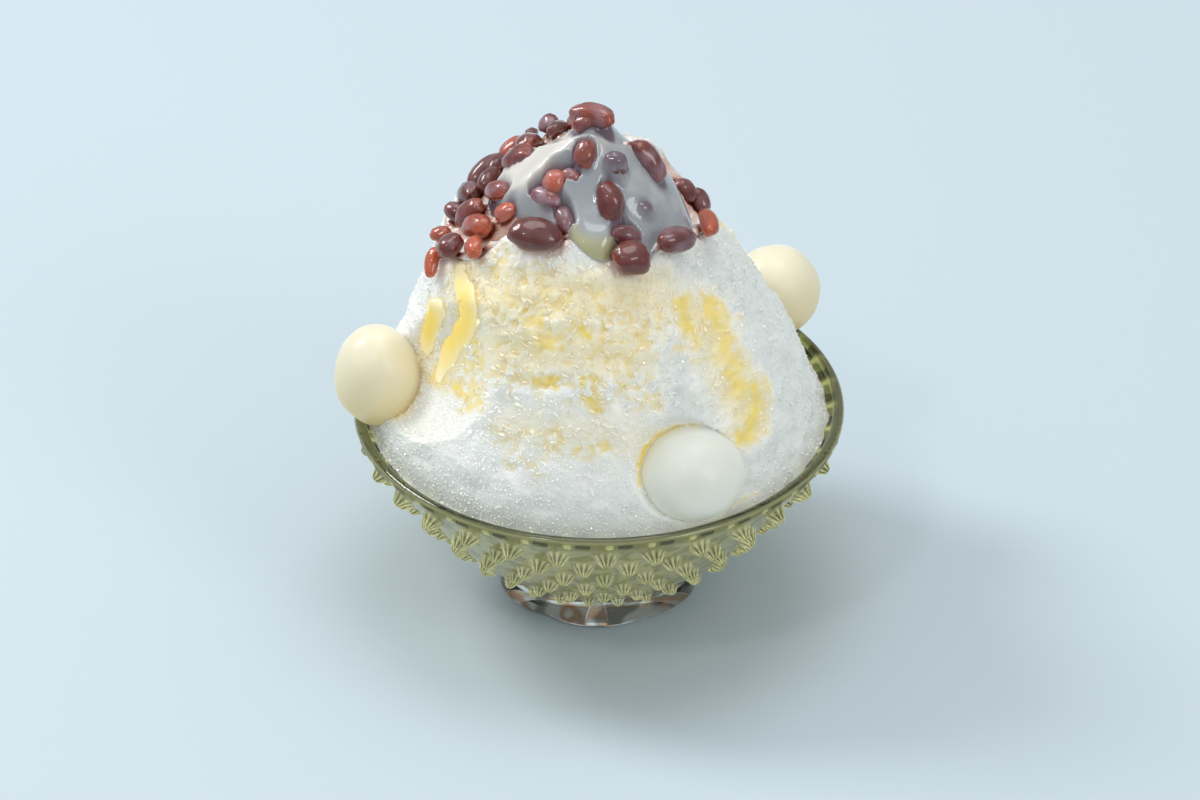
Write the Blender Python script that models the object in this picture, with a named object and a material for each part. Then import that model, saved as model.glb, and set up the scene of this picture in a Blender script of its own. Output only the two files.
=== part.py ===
"""Shaved ice heaped in a footed pressed-glass dish.

Sweet red beans cap the ice, condensed milk runs over the beans, and three rice
dumplings lean against the mound. Metres, +Z up. The origin is the centre of the
flat underside of the dish's foot, and the dish is looked at along +Y.
"""
import math
import random

import bmesh
import bpy
from mathutils import Matrix, Vector, noise
from mathutils.bvhtree import BVHTree
from mathutils.geometry import delaunay_2d_cdt

# ---------------------------------------------------------------- dish
RIM_RADIUS = 0.0620
RIM_HEIGHT = 0.0510
GLASS = 0.0030
SEGMENTS = 48
# (height, radius) of the outside of the wall, from the foot to below the rim
WALL = ((0.0098, 0.0285), (0.0185, 0.0380), (0.0260, 0.0445),
        (0.0370, 0.0530), (0.0480, 0.0608))
FOOT_LOBES = 6
FOOT_LOBE_DEPTH = 0.0016
FOOT_TURN = math.radians(-1.5)
# (height, radius, share of the lobes' depth) of the foot, going up
FOOT_RINGS = ((0.0000, 0.0250, 1.0), (0.0010, 0.0262, 1.0), (0.0045, 0.0254, 0.8),
              (0.0078, 0.0252, 0.3))
FLOOR_HEIGHT = 0.0122
FLOOR_RADIUS = 0.0120
# rings on the inside of the wall, as shares of the wall's height
INSIDE_SHARES = (0.95, 0.66, 0.34, 0.05)
# degrees round the rim's bead, from its outside over the top to its inside
BEAD_ANGLES = (-10, 30, 90, 150, 190)

# hobnails: staggered rows of short blunt cones, smaller towards the foot
KNOBS_AROUND = 30
KNOB_TURN = math.radians(1.9)
KNOB_ROW_HEIGHTS = (0.0435, 0.0377, 0.0312, 0.0250, 0.0195, 0.0149)
KNOB_RADIUS_TOP = 0.0032
KNOB_RADIUS_LOW = 0.0020
KNOB_REACH_TOP = 0.0028
KNOB_REACH_LOW = 0.0017
KNOB_SIDES = 6
KNOB_TIP_SHARE = 0.42
KNOB_TIP_SIDES = 3

# ---------------------------------------------------------------- mound
# height of the whole heap, beans included, at even steps of PROFILE_STEP outwards
PROFILE_STEP = 0.0080
LEFT_PROFILE = (0.1420, 0.1365, 0.1307, 0.1240, 0.1144, 0.1035, 0.0775, 0.0560)
RIGHT_PROFILE = (0.1420, 0.1340, 0.1245, 0.1130, 0.0995, 0.0868, 0.0730, 0.0525)
ICE_EDGE_RADIUS = 0.0570
ICE_EDGE_HEIGHT = 0.0489
BEAN_LAYER = 0.0076
BEAN_LAYER_FADE = 0.0100
# the layer measured straight down is thicker on the steep side than at the summit
STEEP_SIDE = 0.40
STEEP_RADIUS = 0.022
EDGE_FADE = 0.004
ICE_SEGMENTS = 32
RINGS_UNDER_BEANS = 6
RINGS_BARE = 7
RELIEF = 0.0016
RELIEF_SIZE = 0.011
FLUTES_SHARE = 1.2
FLUTE_WIDTH = 0.009
FLUTE_HEIGHT = 0.040
FLUTE_SHIFT = Vector((7.0, 3.0, 1.0))
CLEARANCE = 0.0004
# small steps over which slopes are measured
WALL_STEP = 0.0002
ICE_STEP = 0.0015
SHARP_ANGLE = math.radians(40.0)

# how far the beans reach from the axis, by direction: degrees from the front
# towards the right, metres
BEANS_REACH = ((0, 0.0274), (16, 0.0296), (36, 0.0274), (55, 0.0275), (85, 0.0300),
               (108, 0.0320), (125, 0.0270), (145, 0.0200), (180, 0.0195), (215, 0.0280),
               (240, 0.0365), (262, 0.0430), (280, 0.0432), (296, 0.0389), (308, 0.0330),
               (327, 0.0300), (345, 0.0268))
CORE_THICKNESS = 0.0028
CORE_EDGE = 0.0012
CORE_INSET = 0.0022
# the last share of a layer's reach, over which it thins towards its edge
TAPER = 0.3
BEAN_SINK = 0.0009

VIEW_TILT = math.radians(34.0)
SIGHT_DEPTH = 0.080
SIGHT_STEPS = 400
LEAST_FACING = 0.3
# beans that lie in sight: across and up as seen from the front at VIEW_TILT, then
# length, width and tilt in degrees
BEANS_IN_SIGHT = (
    (-0.0013, 0.1146, 0.0125, 0.0062, -12), (-0.0038, 0.1130, 0.0065, 0.0050, 25),
    (-0.0126, 0.1127, 0.0056, 0.0052, 10), (-0.0169, 0.1112, 0.0044, 0.0034, 70),
    (-0.0217, 0.1064, 0.0082, 0.0052, 40), (-0.0285, 0.1006, 0.0135, 0.0060, 48),
    (-0.0323, 0.0951, 0.0068, 0.0060, 80), (-0.0255, 0.0958, 0.0083, 0.0056, -5),
    (-0.0325, 0.0905, 0.0096, 0.0062, 40), (-0.0305, 0.0868, 0.0096, 0.0066, -5),
    (-0.0398, 0.0852, 0.0056, 0.0044, 10), (-0.0373, 0.0820, 0.0074, 0.0066, 40),
    (-0.0319, 0.0820, 0.0072, 0.0052, 85), (-0.0419, 0.0779, 0.0080, 0.0042, 80),
    (-0.0159, 0.0847, 0.0138, 0.0092, -8), (-0.0111, 0.0979, 0.0064, 0.0060, 54),
    (-0.0073, 0.0994, 0.0055, 0.0040, -10), (-0.0134, 0.0941, 0.0088, 0.0054, -20),
    (-0.0035, 0.1049, 0.0074, 0.0058, 80), (0.0043, 0.1021, 0.0065, 0.0055, -35),
    (0.0126, 0.1037, 0.0120, 0.0068, -55), (0.0179, 0.1021, 0.0074, 0.0048, -60),
    (0.0028, 0.0931, 0.0104, 0.0070, -78), (0.0217, 0.0961, 0.0070, 0.0054, -40),
    (0.0255, 0.0936, 0.0070, 0.0048, -60), (0.0275, 0.0878, 0.0102, 0.0052, -75),
    (0.0194, 0.0835, 0.0114, 0.0070, 12), (0.0068, 0.0845, 0.0084, 0.0052, -10),
    (0.0081, 0.0787, 0.0098, 0.0093, 0), (0.0116, 0.0905, 0.0045, 0.0036, -30),
    (-0.0235, 0.0905, 0.0064, 0.0046, 30), (-0.0086, 0.0883, 0.0080, 0.0048, -75),
)
# a bean is laid in this many tries, each of which makes good this share of what is
# off, and it is never aimed further than this from where it shows; a place behind the
# summit counts as worse by this share of its distance
SETTLING = 16
SETTLE_PACE = 0.5
STRAY = 0.0055
BEHIND_COST = 0.1
MORE_BEANS = 9
BEAN_TRIES = 4000
BEAN_SPACING = 0.0062
BEAN_EDGE = 0.0025
BEAN_LENGTH = (0.0072, 0.0108)
BEAN_SLENDER = 0.68
BEAN_FLAT = 0.86
# beans longer than ROUND_BEAN times their width bend more
BEAN_CURL = -0.10
SLENDER_CURL = -0.30
ROUND_BEAN = 1.4
LONGEST_BEAN = 2.2
CURL_MIDDLE = 0.4
BEAN_SIDES = 7
BEAN_BANDS = 4
BEAN_SEED = 27
# the rest of the beans lie behind, out of the viewer's sight
BEHIND = (math.radians(150), math.radians(262))
LEAST_BEHIND = 0.35

# condensed milk: degrees from the front towards the right, reach in metres
MILK_REACH = ((1, 0.0276), (6, 0.0264), (11, 0.0238), (20, 0.0238), (28, 0.0275),
              (37, 0.0240), (60, 0.0262), (80, 0.0262), (105, 0.0200), (130, 0.0130),
              (160, 0.0090), (195, 0.0090), (225, 0.0130), (250, 0.0225), (272, 0.0285),
              (290, 0.0262), (312, 0.0235), (330, 0.0232), (340, 0.0243), (347, 0.0262),
              (354, 0.0274))
MILK_SEGMENTS = 24
MILK_RINGS = 4
MILK_EASING = 1.4
MILK_THICKNESS = 0.0013
MILK_EDGE = 0.0008
MILK_GAP = 0.0018
BEAN_GAP = 0.0009

# ---------------------------------------------------------------- rice dumplings
# name, centre, half sizes, turn about Z in degrees
DUMPLINGS = (
    ("rice_dumpling_left", (-0.0558, -0.0062, 0.0642), (0.0110, 0.0115, 0.0134), 10),
    ("rice_dumpling_front", (0.0235, -0.0438, 0.0598), (0.0136, 0.0130, 0.0120), 25),
    ("rice_dumpling_back", (0.0446, 0.0338, 0.0632), (0.0117, 0.0117, 0.0115), 0),
)
DUMPLING_WOBBLE = 0.035
DUMPLING_WAVES = 1.3
DUMPLING_SEED = 5
# the ice falls away in a funnel before the dumplings that the viewer sees whole
SHOWN_WHOLE = ("rice_dumpling_left", "rice_dumpling_front")
FUNNEL_SIDES = 16
FUNNEL_DEPTH = 0.016
FUNNEL_SLOPE = 1.1
FUNNEL_INSET = 0.98


def clear_scene():
    for item in list(bpy.data.objects):
        bpy.data.objects.remove(item, do_unlink=True)


def material(name, colour, roughness, transmission=0.0):
    made = bpy.data.materials.new(name)
    made.use_nodes = True
    shader = made.node_tree.nodes["Principled BSDF"]
    shader.inputs["Base Color"].default_value = (*colour, 1.0)
    shader.inputs["Roughness"].default_value = roughness
    shader.inputs["Metallic"].default_value = 0.0
    shader.inputs["Transmission Weight"].default_value = transmission
    return made


def new_object(name, bm, finish):
    """Closes a bmesh into a named object with its material, all faces outwards."""
    bmesh.ops.remove_doubles(bm, verts=bm.verts, dist=1e-6)
    bmesh.ops.triangulate(bm, faces=bm.faces)
    bmesh.ops.recalc_face_normals(bm, faces=bm.faces)
    if bm.calc_volume(signed=True) < 0.0:
        bmesh.ops.reverse_faces(bm, faces=bm.faces)
    mesh = bpy.data.meshes.new(name)
    bm.to_mesh(mesh)
    bm.free()
    if finish is not None:
        mesh.materials.append(finish)
    made = bpy.data.objects.new(name, mesh)
    bpy.context.scene.collection.objects.link(made)
    return made


def smooth(share):
    share = min(max(share, 0.0), 1.0)
    return share * share * (3.0 - 2.0 * share)


def along(points, at):
    """Smooth curve through (at, value) points, read at one place."""
    last = len(points) - 1
    at = min(max(at, points[0][0]), points[last][0])
    i = 0
    while i < last - 1 and at > points[i + 1][0]:
        i += 1
    (a0, v0), (a1, v1) = points[i], points[i + 1]
    before = points[i - 1] if i > 0 else (2 * a0 - a1, 2 * v0 - v1)
    after = points[i + 2] if i + 2 <= last else (2 * a1 - a0, 2 * v1 - v0)
    slope0 = (v1 - before[1]) / (a1 - before[0])
    slope1 = (after[1] - v0) / (after[0] - a0)
    t = (at - a0) / (a1 - a0)
    span = a1 - a0
    return ((2 * t ** 3 - 3 * t ** 2 + 1) * v0 + (t ** 3 - 2 * t ** 2 + t) * span * slope0
            + (-2 * t ** 3 + 3 * t ** 2) * v1 + (t ** 3 - t ** 2) * span * slope1)


def around(points, turn):
    """The same for values given by direction in degrees, which close on themselves."""
    turn = math.degrees(turn) % 360.0
    closed = [(a - 360.0, v) for a, v in points[-2:]]
    closed += list(points)
    closed += [(a + 360.0, v) for a, v in points[:2]]
    return along(closed, turn)


def polar(radius, turn, height):
    """A point by its direction: 0 is the front (-Y), a quarter turn is the right (+X)."""
    return Vector((radius * math.sin(turn), -radius * math.cos(turn), height))


def add_ring(bm, points):
    return [bm.verts.new(point) for point in points]


def bridge(bm, lower, upper):
    count = len(lower)
    for i in range(count):
        j = (i + 1) % count
        bm.faces.new((lower[i], lower[j], upper[j], upper[i]))


def fan(bm, ring, tip):
    count = len(ring)
    for i in range(count):
        bm.faces.new((ring[i], ring[(i + 1) % count], tip))


# ---------------------------------------------------------------- the glass dish
def wall_radius(height):
    return along(WALL, height)


def wall_lean(height):
    """How much the wall's radius grows for each metre of height."""
    step = WALL_STEP
    return (wall_radius(height + step) - wall_radius(height - step)) / (2 * step)


def wall_point(turn, height, proud):
    """A point on the outside of the wall, or proud of it, square to the wall."""
    lean = wall_lean(height)
    length = math.hypot(1.0, lean)
    return polar(wall_radius(height) + proud / length, turn, height - proud * lean / length)


def knob_band(bm, lower, upper):
    """The hobnailed outside of the wall between two rings of the lathe."""
    flat, solid, loops = [], [], []

    def note(point, radius, turn):
        flat.append(Vector((radius * math.cos(turn), radius * math.sin(turn))))
        solid.append(point)
        return len(flat) - 1

    for ring, height in ((lower, WALL[0][0]), (upper, WALL[-1][0])):
        marks = []
        for i, vert in enumerate(ring):
            turn = KNOB_TURN + 2 * math.pi * i / SEGMENTS
            marks.append(note(vert.co.copy(), wall_radius(height), turn))
        loops.append(marks)
    pitch = 2 * math.pi / KNOBS_AROUND
    top, low = KNOB_ROW_HEIGHTS[0], KNOB_ROW_HEIGHTS[-1]
    for row, height in enumerate(KNOB_ROW_HEIGHTS):
        share = (height - low) / (top - low)
        base = KNOB_RADIUS_LOW + share * (KNOB_RADIUS_TOP - KNOB_RADIUS_LOW)
        reach = KNOB_REACH_LOW + share * (KNOB_REACH_TOP - KNOB_REACH_LOW)
        radius = wall_radius(height)
        slant = math.hypot(1.0, wall_lean(height))
        for i in range(KNOBS_AROUND):
            turn = KNOB_TURN + pitch * (i + 0.5 * (row % 2))
            for sides, size, proud in ((KNOB_SIDES, base, 0.0),
                                       (KNOB_TIP_SIDES, base * KNOB_TIP_SHARE, reach)):
                marks = []
                for side in range(sides):
                    angle = 2 * math.pi * (side + 0.5) / sides
                    turn_here = turn + size * math.cos(angle) / radius
                    height_here = height + size * math.sin(angle) / slant
                    marks.append(note(wall_point(turn_here, height_here, proud),
                                      wall_radius(height_here), turn_here))
                loops.append(marks)
    edges = [(loop[i], loop[(i + 1) % len(loop)]) for loop in loops for i in range(len(loop))]
    _, _, triangles, origins, _, _ = delaunay_2d_cdt(flat, edges, [], 0, 1e-7)
    inner = set(loops[0])
    verts = []
    for origin in origins:
        index = origin[0]
        if index < SEGMENTS:
            verts.append(lower[index])
        elif index < 2 * SEGMENTS:
            verts.append(upper[index - SEGMENTS])
        else:
            verts.append(bm.verts.new(solid[index]))
    for triangle in triangles:
        if not all(origins[i][0] in inner for i in triangle):
            bm.faces.new([verts[i] for i in triangle])


def foot_radius(radius, share, turn):
    """The foot's scalloped outline: shallow lobes that meet in sharp notches."""
    lobe = abs(math.cos(0.5 * FOOT_LOBES * (turn - FOOT_TURN)))
    return radius - share * FOOT_LOBE_DEPTH * (1.0 - lobe)


def build_dish(finish):
    bm = bmesh.new()
    turns = [KNOB_TURN + 2 * math.pi * i / SEGMENTS for i in range(SEGMENTS)]

    def lathe_ring(radius, height):
        return add_ring(bm, [polar(radius, turn, height) for turn in turns])

    underside = bm.verts.new((0.0, 0.0, 0.0))
    previous = None
    for height, radius, share in FOOT_RINGS:
        ring = add_ring(bm, [polar(foot_radius(radius, share, turn), turn, height)
                             for turn in turns])
        if previous is None:
            fan(bm, ring, underside)
        else:
            bridge(bm, previous, ring)
        previous = ring
    wall_foot = lathe_ring(WALL[0][1], WALL[0][0])
    bridge(bm, previous, wall_foot)
    wall_top = lathe_ring(WALL[-1][1], WALL[-1][0])
    knob_band(bm, wall_foot, wall_top)

    # the rounded bead of the rim, then the inside of the wall
    bead = GLASS / 2
    centre_radius = RIM_RADIUS - bead
    centre_height = RIM_HEIGHT - bead
    previous = wall_top
    for angle in BEAD_ANGLES:
        turn = math.radians(angle)
        ring = lathe_ring(centre_radius + bead * math.cos(turn),
                          centre_height + bead * math.sin(turn))
        bridge(bm, previous, ring)
        previous = ring
    for share in INSIDE_SHARES:
        ring = add_ring(bm, [inside_point(turn, share, 0.0) for turn in turns])
        bridge(bm, previous, ring)
        previous = ring
    floor = lathe_ring(FLOOR_RADIUS, FLOOR_HEIGHT)
    bridge(bm, previous, floor)
    fan(bm, floor, bm.verts.new((0.0, 0.0, FLOOR_HEIGHT)))
    return new_object("glass_bowl", bm, finish)


def inside_point(turn, share, gap):
    """A point on the inside of the wall, by the share of the wall's height, or off it."""
    height = WALL[0][0] + share * (WALL[-1][0] - WALL[0][0])
    return wall_point(turn, height, -(GLASS + gap))


# ---------------------------------------------------------------- the mound
def beans_reach(turn):
    return around(BEANS_REACH, turn)


def core_reach(turn):
    return beans_reach(turn) - CORE_INSET


def heap_height(radius, turn):
    """Height of the heap's outside, beans included."""
    right = 0.5 + 0.5 * math.sin(turn)
    heights = [low + right * (high - low) for low, high in zip(LEFT_PROFILE, RIGHT_PROFILE)]
    points = [(-PROFILE_STEP, heights[1])]
    points += [(i * PROFILE_STEP, height) for i, height in enumerate(heights)]
    points.append((ICE_EDGE_RADIUS, ICE_EDGE_HEIGHT))
    return along(points, radius)


def relief(place, bare):
    """Soft lumps and flutes of the packed ice, fading out under the beans."""
    lumps = noise.noise(place / RELIEF_SIZE)
    stretched = Vector((place.x / FLUTE_WIDTH, place.y / FLUTE_WIDTH, place.z / FLUTE_HEIGHT))
    flutes = noise.noise(stretched + FLUTE_SHIFT)
    return RELIEF * bare * (lumps + FLUTES_SHARE * flutes)


def ice_height(radius, turn):
    """Height of the ice itself: the heap less the layer of beans."""
    reach = beans_reach(turn)
    under = smooth((reach - radius) / BEAN_LAYER_FADE)
    steep = 1.0 + STEEP_SIDE * smooth(radius / STEEP_RADIUS)
    top = heap_height(radius, turn)
    bare = (1.0 - under) * smooth((ICE_EDGE_RADIUS - radius) / EDGE_FADE)
    return top - BEAN_LAYER * steep * under + relief(polar(radius, turn, top), bare)


def ice_point(radius, turn):
    return polar(radius, turn, ice_height(radius, turn))


def square_to(height_of, radius, turn):
    """Direction square to a surface, from small steps either way."""
    step = ICE_STEP
    spot = polar(radius, turn, 0.0)

    def height_at(x, y):
        return height_of(math.hypot(x, y), math.atan2(x, -y))

    dx = (height_at(spot.x + step, spot.y) - height_at(spot.x - step, spot.y)) / (2 * step)
    dy = (height_at(spot.x, spot.y + step) - height_at(spot.x, spot.y - step)) / (2 * step)
    return Vector((-dx, -dy, 1.0)).normalized()


def ice_normal(radius, turn):
    return square_to(ice_height, radius, turn)


def heap_normal(radius, turn):
    return square_to(heap_height, radius, turn)


def build_ice(finish):
    bm = bmesh.new()
    turns = [2 * math.pi * i / ICE_SEGMENTS for i in range(ICE_SEGMENTS)]
    peak = bm.verts.new(ice_point(0.0, 0.0))
    previous = None
    for k in range(1, RINGS_UNDER_BEANS + RINGS_BARE + 1):
        points = []
        for turn in turns:
            reach = core_reach(turn)
            if k <= RINGS_UNDER_BEANS:
                radius = reach * k / RINGS_UNDER_BEANS
            else:
                share = (k - RINGS_UNDER_BEANS) / RINGS_BARE
                radius = reach + (ICE_EDGE_RADIUS - reach) * share
            points.append(ice_point(radius, turn))
        ring = add_ring(bm, points)
        if previous is None:
            fan(bm, ring, peak)
        else:
            bridge(bm, previous, ring)
        previous = ring
    for share in INSIDE_SHARES:
        ring = add_ring(bm, [inside_point(turn, share, CLEARANCE) for turn in turns])
        bridge(bm, previous, ring)
        previous = ring
    foot = add_ring(bm, [polar(FLOOR_RADIUS, turn, FLOOR_HEIGHT + CLEARANCE) for turn in turns])
    bridge(bm, previous, foot)
    fan(bm, foot, bm.verts.new((0.0, 0.0, FLOOR_HEIGHT + CLEARANCE)))
    return new_object("shaved_ice", bm, finish)


# ---------------------------------------------------------------- rice dumplings
def build_dumpling(name, centre, halves, turn, grown, finish):
    """A hand-rolled ball, a little uneven. grown makes it larger, to cut its socket."""
    bm = bmesh.new()
    bmesh.ops.create_icosphere(bm, subdivisions=3, radius=1.0)
    spin = Matrix.Rotation(math.radians(turn), 3, "Z")
    offset = Vector((DUMPLING_SEED, centre[0] / halves[0], 0.0))
    for vert in bm.verts:
        swell = 1.0 + DUMPLING_WOBBLE * noise.noise(vert.co * DUMPLING_WAVES + offset)
        local = Vector([axis * (half * swell + grown) for axis, half in zip(vert.co, halves)])
        vert.co = Vector(centre) + spin @ local
    return new_object(name, bm, finish)


def build_funnel(name, centre, halves):
    """A cone, open towards the viewer, that clears the ice before a dumpling."""
    bm = bmesh.new()
    viewer = Vector((0.0, -math.cos(VIEW_TILT), math.sin(VIEW_TILT)))
    upward = Vector((0.0, math.sin(VIEW_TILT), math.cos(VIEW_TILT)))
    rings = []
    for depth in (0.0, FUNNEL_DEPTH):
        points = []
        for side in range(FUNNEL_SIDES):
            angle = 2 * math.pi * side / FUNNEL_SIDES
            reach = FUNNEL_INSET * sum(halves) / len(halves) + depth / FUNNEL_SLOPE
            points.append(Vector(centre) + viewer * depth
                          + Vector((1.0, 0.0, 0.0)) * reach * math.cos(angle)
                          + upward * reach * math.sin(angle))
        rings.append(add_ring(bm, points))
    bridge(bm, rings[0], rings[1])
    fan(bm, rings[0], bm.verts.new(centre))
    fan(bm, rings[1], bm.verts.new(Vector(centre) + viewer * FUNNEL_DEPTH))
    return new_object(name, bm, None)


# ---------------------------------------------------------------- red beans
def spot_in_sight(across, up):
    """Radius and direction on the ice of a point as the viewer sees it."""
    best, best_gap = 0.0, math.inf
    for i in range(SIGHT_STEPS):
        y = -ICE_EDGE_RADIUS + SIGHT_DEPTH * i / SIGHT_STEPS
        radius = math.hypot(across, y)
        if radius > ICE_EDGE_RADIUS:
            continue
        height = ice_height(radius, math.atan2(across, -y))
        gap = up - (height * math.cos(VIEW_TILT) + y * math.sin(VIEW_TILT))
        if gap < best_gap:
            best, best_gap = y, gap
        if gap <= 0.0:
            break
    return math.hypot(across, best), math.atan2(across, -best)


def bean_axes(normal, tilt):
    """A bean's long, wide and thick directions; tilt is as the viewer sees it."""
    angle = math.radians(tilt)
    upward = Vector((0.0, math.sin(VIEW_TILT), math.cos(VIEW_TILT)))
    viewer = Vector((0.0, -math.cos(VIEW_TILT), math.sin(VIEW_TILT)))
    seen = Vector((math.cos(angle), 0.0, 0.0)) + math.sin(angle) * upward
    facing = max(normal.dot(viewer), LEAST_FACING)
    long_way = seen - viewer * (seen.dot(normal) / facing)
    long_way = (long_way - normal * long_way.dot(normal)).normalized()
    return long_way, normal.cross(long_way), normal


def bean_base(radius, turn, width):
    """How far a bean's middle lies above the ice."""
    half = width * BEAN_FLAT / 2
    inside = smooth((1.0 - radius / beans_reach(turn)) / TAPER)
    hover = inside * min(max(BEAN_LAYER - 2 * half, 0.0), CORE_THICKNESS - BEAN_SINK)
    return half + CLEARANCE + hover


def settle(across, up, width):
    """Where on the ice a bean lies whose middle shows at across and up."""
    aim_across, aim_up = across, up
    best, least_off = (0.0, 0.0), math.inf
    for _ in range(SETTLING):
        radius, turn = spot_in_sight(aim_across, aim_up)
        middle = ice_point(radius, turn)
        middle += ice_normal(radius, turn) * bean_base(radius, turn, width)
        seen = middle.z * math.cos(VIEW_TILT) + middle.y * math.sin(VIEW_TILT)
        off = math.hypot(across - middle.x, up - seen) + BEHIND_COST * max(middle.y, 0.0)
        if off < least_off:
            best, least_off = (radius, turn), off
        aim_across = min(max(aim_across + SETTLE_PACE * (across - middle.x), across - STRAY),
                         across + STRAY)
        aim_up = min(max(aim_up + SETTLE_PACE * (up - seen), up - STRAY), up + STRAY)
    return best


def bean_plan():
    """Every bean as radius, direction, length, width and tilt: first those in sight."""
    rng = random.Random(BEAN_SEED)
    plan = []
    for across, up, length, width, tilt in BEANS_IN_SIGHT:
        plan.append((*settle(across, up, width), length, width, tilt))
    tries = 0
    while len(plan) < len(BEANS_IN_SIGHT) + MORE_BEANS and tries < BEAN_TRIES:
        tries += 1
        turn = rng.uniform(*BEHIND)
        share = LEAST_BEHIND + (1.0 - LEAST_BEHIND) * math.sqrt(rng.random())
        radius = (beans_reach(turn) - BEAN_EDGE) * share
        here = ice_point(radius, turn)
        if all((here - ice_point(r, t)).length > BEAN_SPACING for r, t, *_ in plan):
            length = rng.uniform(*BEAN_LENGTH)
            plan.append((radius, turn, length, length * BEAN_SLENDER, rng.uniform(-90, 90)))
    return plan


def build_bean(name, place, ice_tree):
    """A kidney shape in the layer over the ice."""
    radius, turn, length, width, tilt = place
    normal = ice_normal(radius, turn)
    axes = bean_axes(normal, tilt)
    halves = (length / 2, width / 2, width * BEAN_FLAT / 2)
    centre = ice_point(radius, turn) + normal * bean_base(radius, turn, width)
    slender = min(max(length / width, ROUND_BEAN), LONGEST_BEAN) - ROUND_BEAN

    def surface(share, angle):
        """share runs along the bean from end to end, angle goes round it."""
        along_it = -math.cos(math.pi * share)
        across = math.sin(math.pi * share)
        curl = (BEAN_CURL + SLENDER_CURL * slender) * (along_it ** 2 - CURL_MIDDLE)
        shape = (along_it, across * math.cos(angle) + curl, across * math.sin(angle))
        return sum((axis * value * half
                    for axis, value, half in zip(axes, shape, halves)), Vector())

    rings = [[surface(band / BEAN_BANDS, 2 * math.pi * side / BEAN_SIDES)
              for side in range(BEAN_SIDES)] for band in range(1, BEAN_BANDS)]
    ends = [surface(0.0, 0.0), surface(1.0, 0.0)]
    lift = 0.0
    for spot in sum(rings, ends):
        above = centre + spot + normal * BEAN_LAYER
        hit = ice_tree.ray_cast(above, -normal)
        if hit[0] is not None:
            lift = max(lift, CLEARANCE + BEAN_LAYER - hit[3])
    centre += normal * lift
    bm = bmesh.new()
    bands = [add_ring(bm, [centre + spot for spot in ring]) for ring in rings]
    for lower, upper in zip(bands, bands[1:]):
        bridge(bm, lower, upper)
    fan(bm, bands[0], bm.verts.new(centre + ends[0]))
    fan(bm, bands[-1], bm.verts.new(centre + ends[1]))
    return new_object(name, bm, None)


def build_bean_hole(name, place):
    """A prism square to the ice that leaves a bean room in the milk."""
    radius, turn, length, width, tilt = place
    normal = ice_normal(radius, turn)
    long_way, wide_way, _ = bean_axes(normal, tilt)
    centre = ice_point(radius, turn)
    round_out = 1.0 / math.cos(math.pi / BEAN_SIDES)
    bm = bmesh.new()
    bands = []
    for level in (-BEAN_LAYER, 2 * BEAN_LAYER):
        points = []
        for side in range(BEAN_SIDES):
            angle = 2 * math.pi * (side + 0.5) / BEAN_SIDES
            across = long_way * math.cos(angle) * (length / 2 * round_out + BEAN_GAP)
            across += wide_way * math.sin(angle) * (width / 2 * round_out + BEAN_GAP)
            points.append(centre + normal * level + across)
        bands.append(add_ring(bm, points))
    bridge(bm, bands[0], bands[1])
    fan(bm, bands[0], bm.verts.new(centre - normal * BEAN_LAYER))
    fan(bm, bands[1], bm.verts.new(centre + normal * 2 * BEAN_LAYER))
    return new_object(name, bm, None)


def layer(name, reach_of, rings, easing, segments, low, high, finish):
    """A closed skin over the ice. low and high give its two faces' heights off the ice.

    An easing over 1 draws the rings together towards the edge.
    """
    bm = bmesh.new()
    turns = [2 * math.pi * i / segments for i in range(segments)]
    edges = []
    for offset in (low, high):
        tip = bm.verts.new(ice_point(0.0, 0.0) + heap_normal(0.0, 0.0) * offset(0.0, 0.0))
        previous = None
        for k in range(1, rings + 1):
            share = 1.0 - (1.0 - k / rings) ** easing
            points = []
            for turn in turns:
                radius = reach_of(turn) * share
                height = offset(share, turn)
                points.append(ice_point(radius, turn) + heap_normal(radius, turn) * height)
            ring = add_ring(bm, points)
            if previous is None:
                fan(bm, ring, tip)
            else:
                bridge(bm, previous, ring)
            previous = ring
        edges.append(previous)
    bridge(bm, edges[0], edges[1])
    return new_object(name, bm, finish)


def core_high(share, _turn):
    """How high the syrup between the beans stands over the ice, alike all round."""
    return CLEARANCE + CORE_EDGE + (CORE_THICKNESS - CORE_EDGE) * smooth((1.0 - share) / TAPER)


def join(target, pieces, operation):
    """One Boolean of target with a collection of pieces, applied; the pieces go."""
    group = bpy.data.collections.new(target.name + "_pieces")
    bpy.context.scene.collection.children.link(group)
    for piece in pieces:
        group.objects.link(piece)
    modifier = target.modifiers.new("join", "BOOLEAN")
    modifier.operation = operation
    modifier.operand_type = "COLLECTION"
    modifier.collection = group
    modifier.solver = "MANIFOLD"
    bpy.context.view_layer.update()
    evaluated = target.evaluated_get(bpy.context.evaluated_depsgraph_get())
    joined = bpy.data.meshes.new_from_object(evaluated)
    target.modifiers.remove(modifier)
    target.data = joined
    for piece in pieces:
        bpy.data.objects.remove(piece, do_unlink=True)
    bpy.data.collections.remove(group)
    keep_largest_body(target)


def keep_largest_body(item):
    """Drops loose scraps and fills sealed hollows: one outer skin stays."""
    bm = bmesh.new()
    bm.from_mesh(item.data)
    bmesh.ops.remove_doubles(bm, verts=bm.verts, dist=2e-6)
    bmesh.ops.dissolve_degenerate(bm, edges=bm.edges, dist=2e-6)
    bmesh.ops.triangulate(bm, faces=bm.faces)
    waiting = set(bm.verts)
    bodies = []
    while waiting:
        stack = [waiting.pop()]
        body = set(stack)
        while stack:
            for edge in stack.pop().link_edges:
                for vert in edge.verts:
                    if vert not in body:
                        body.add(vert)
                        stack.append(vert)
        waiting -= body
        bodies.append(body)
    bodies.sort(key=len)
    loose = [vert for body in bodies[:-1] for vert in body]
    bmesh.ops.delete(bm, geom=loose, context="VERTS")
    bm.to_mesh(item.data)
    bm.free()


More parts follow.
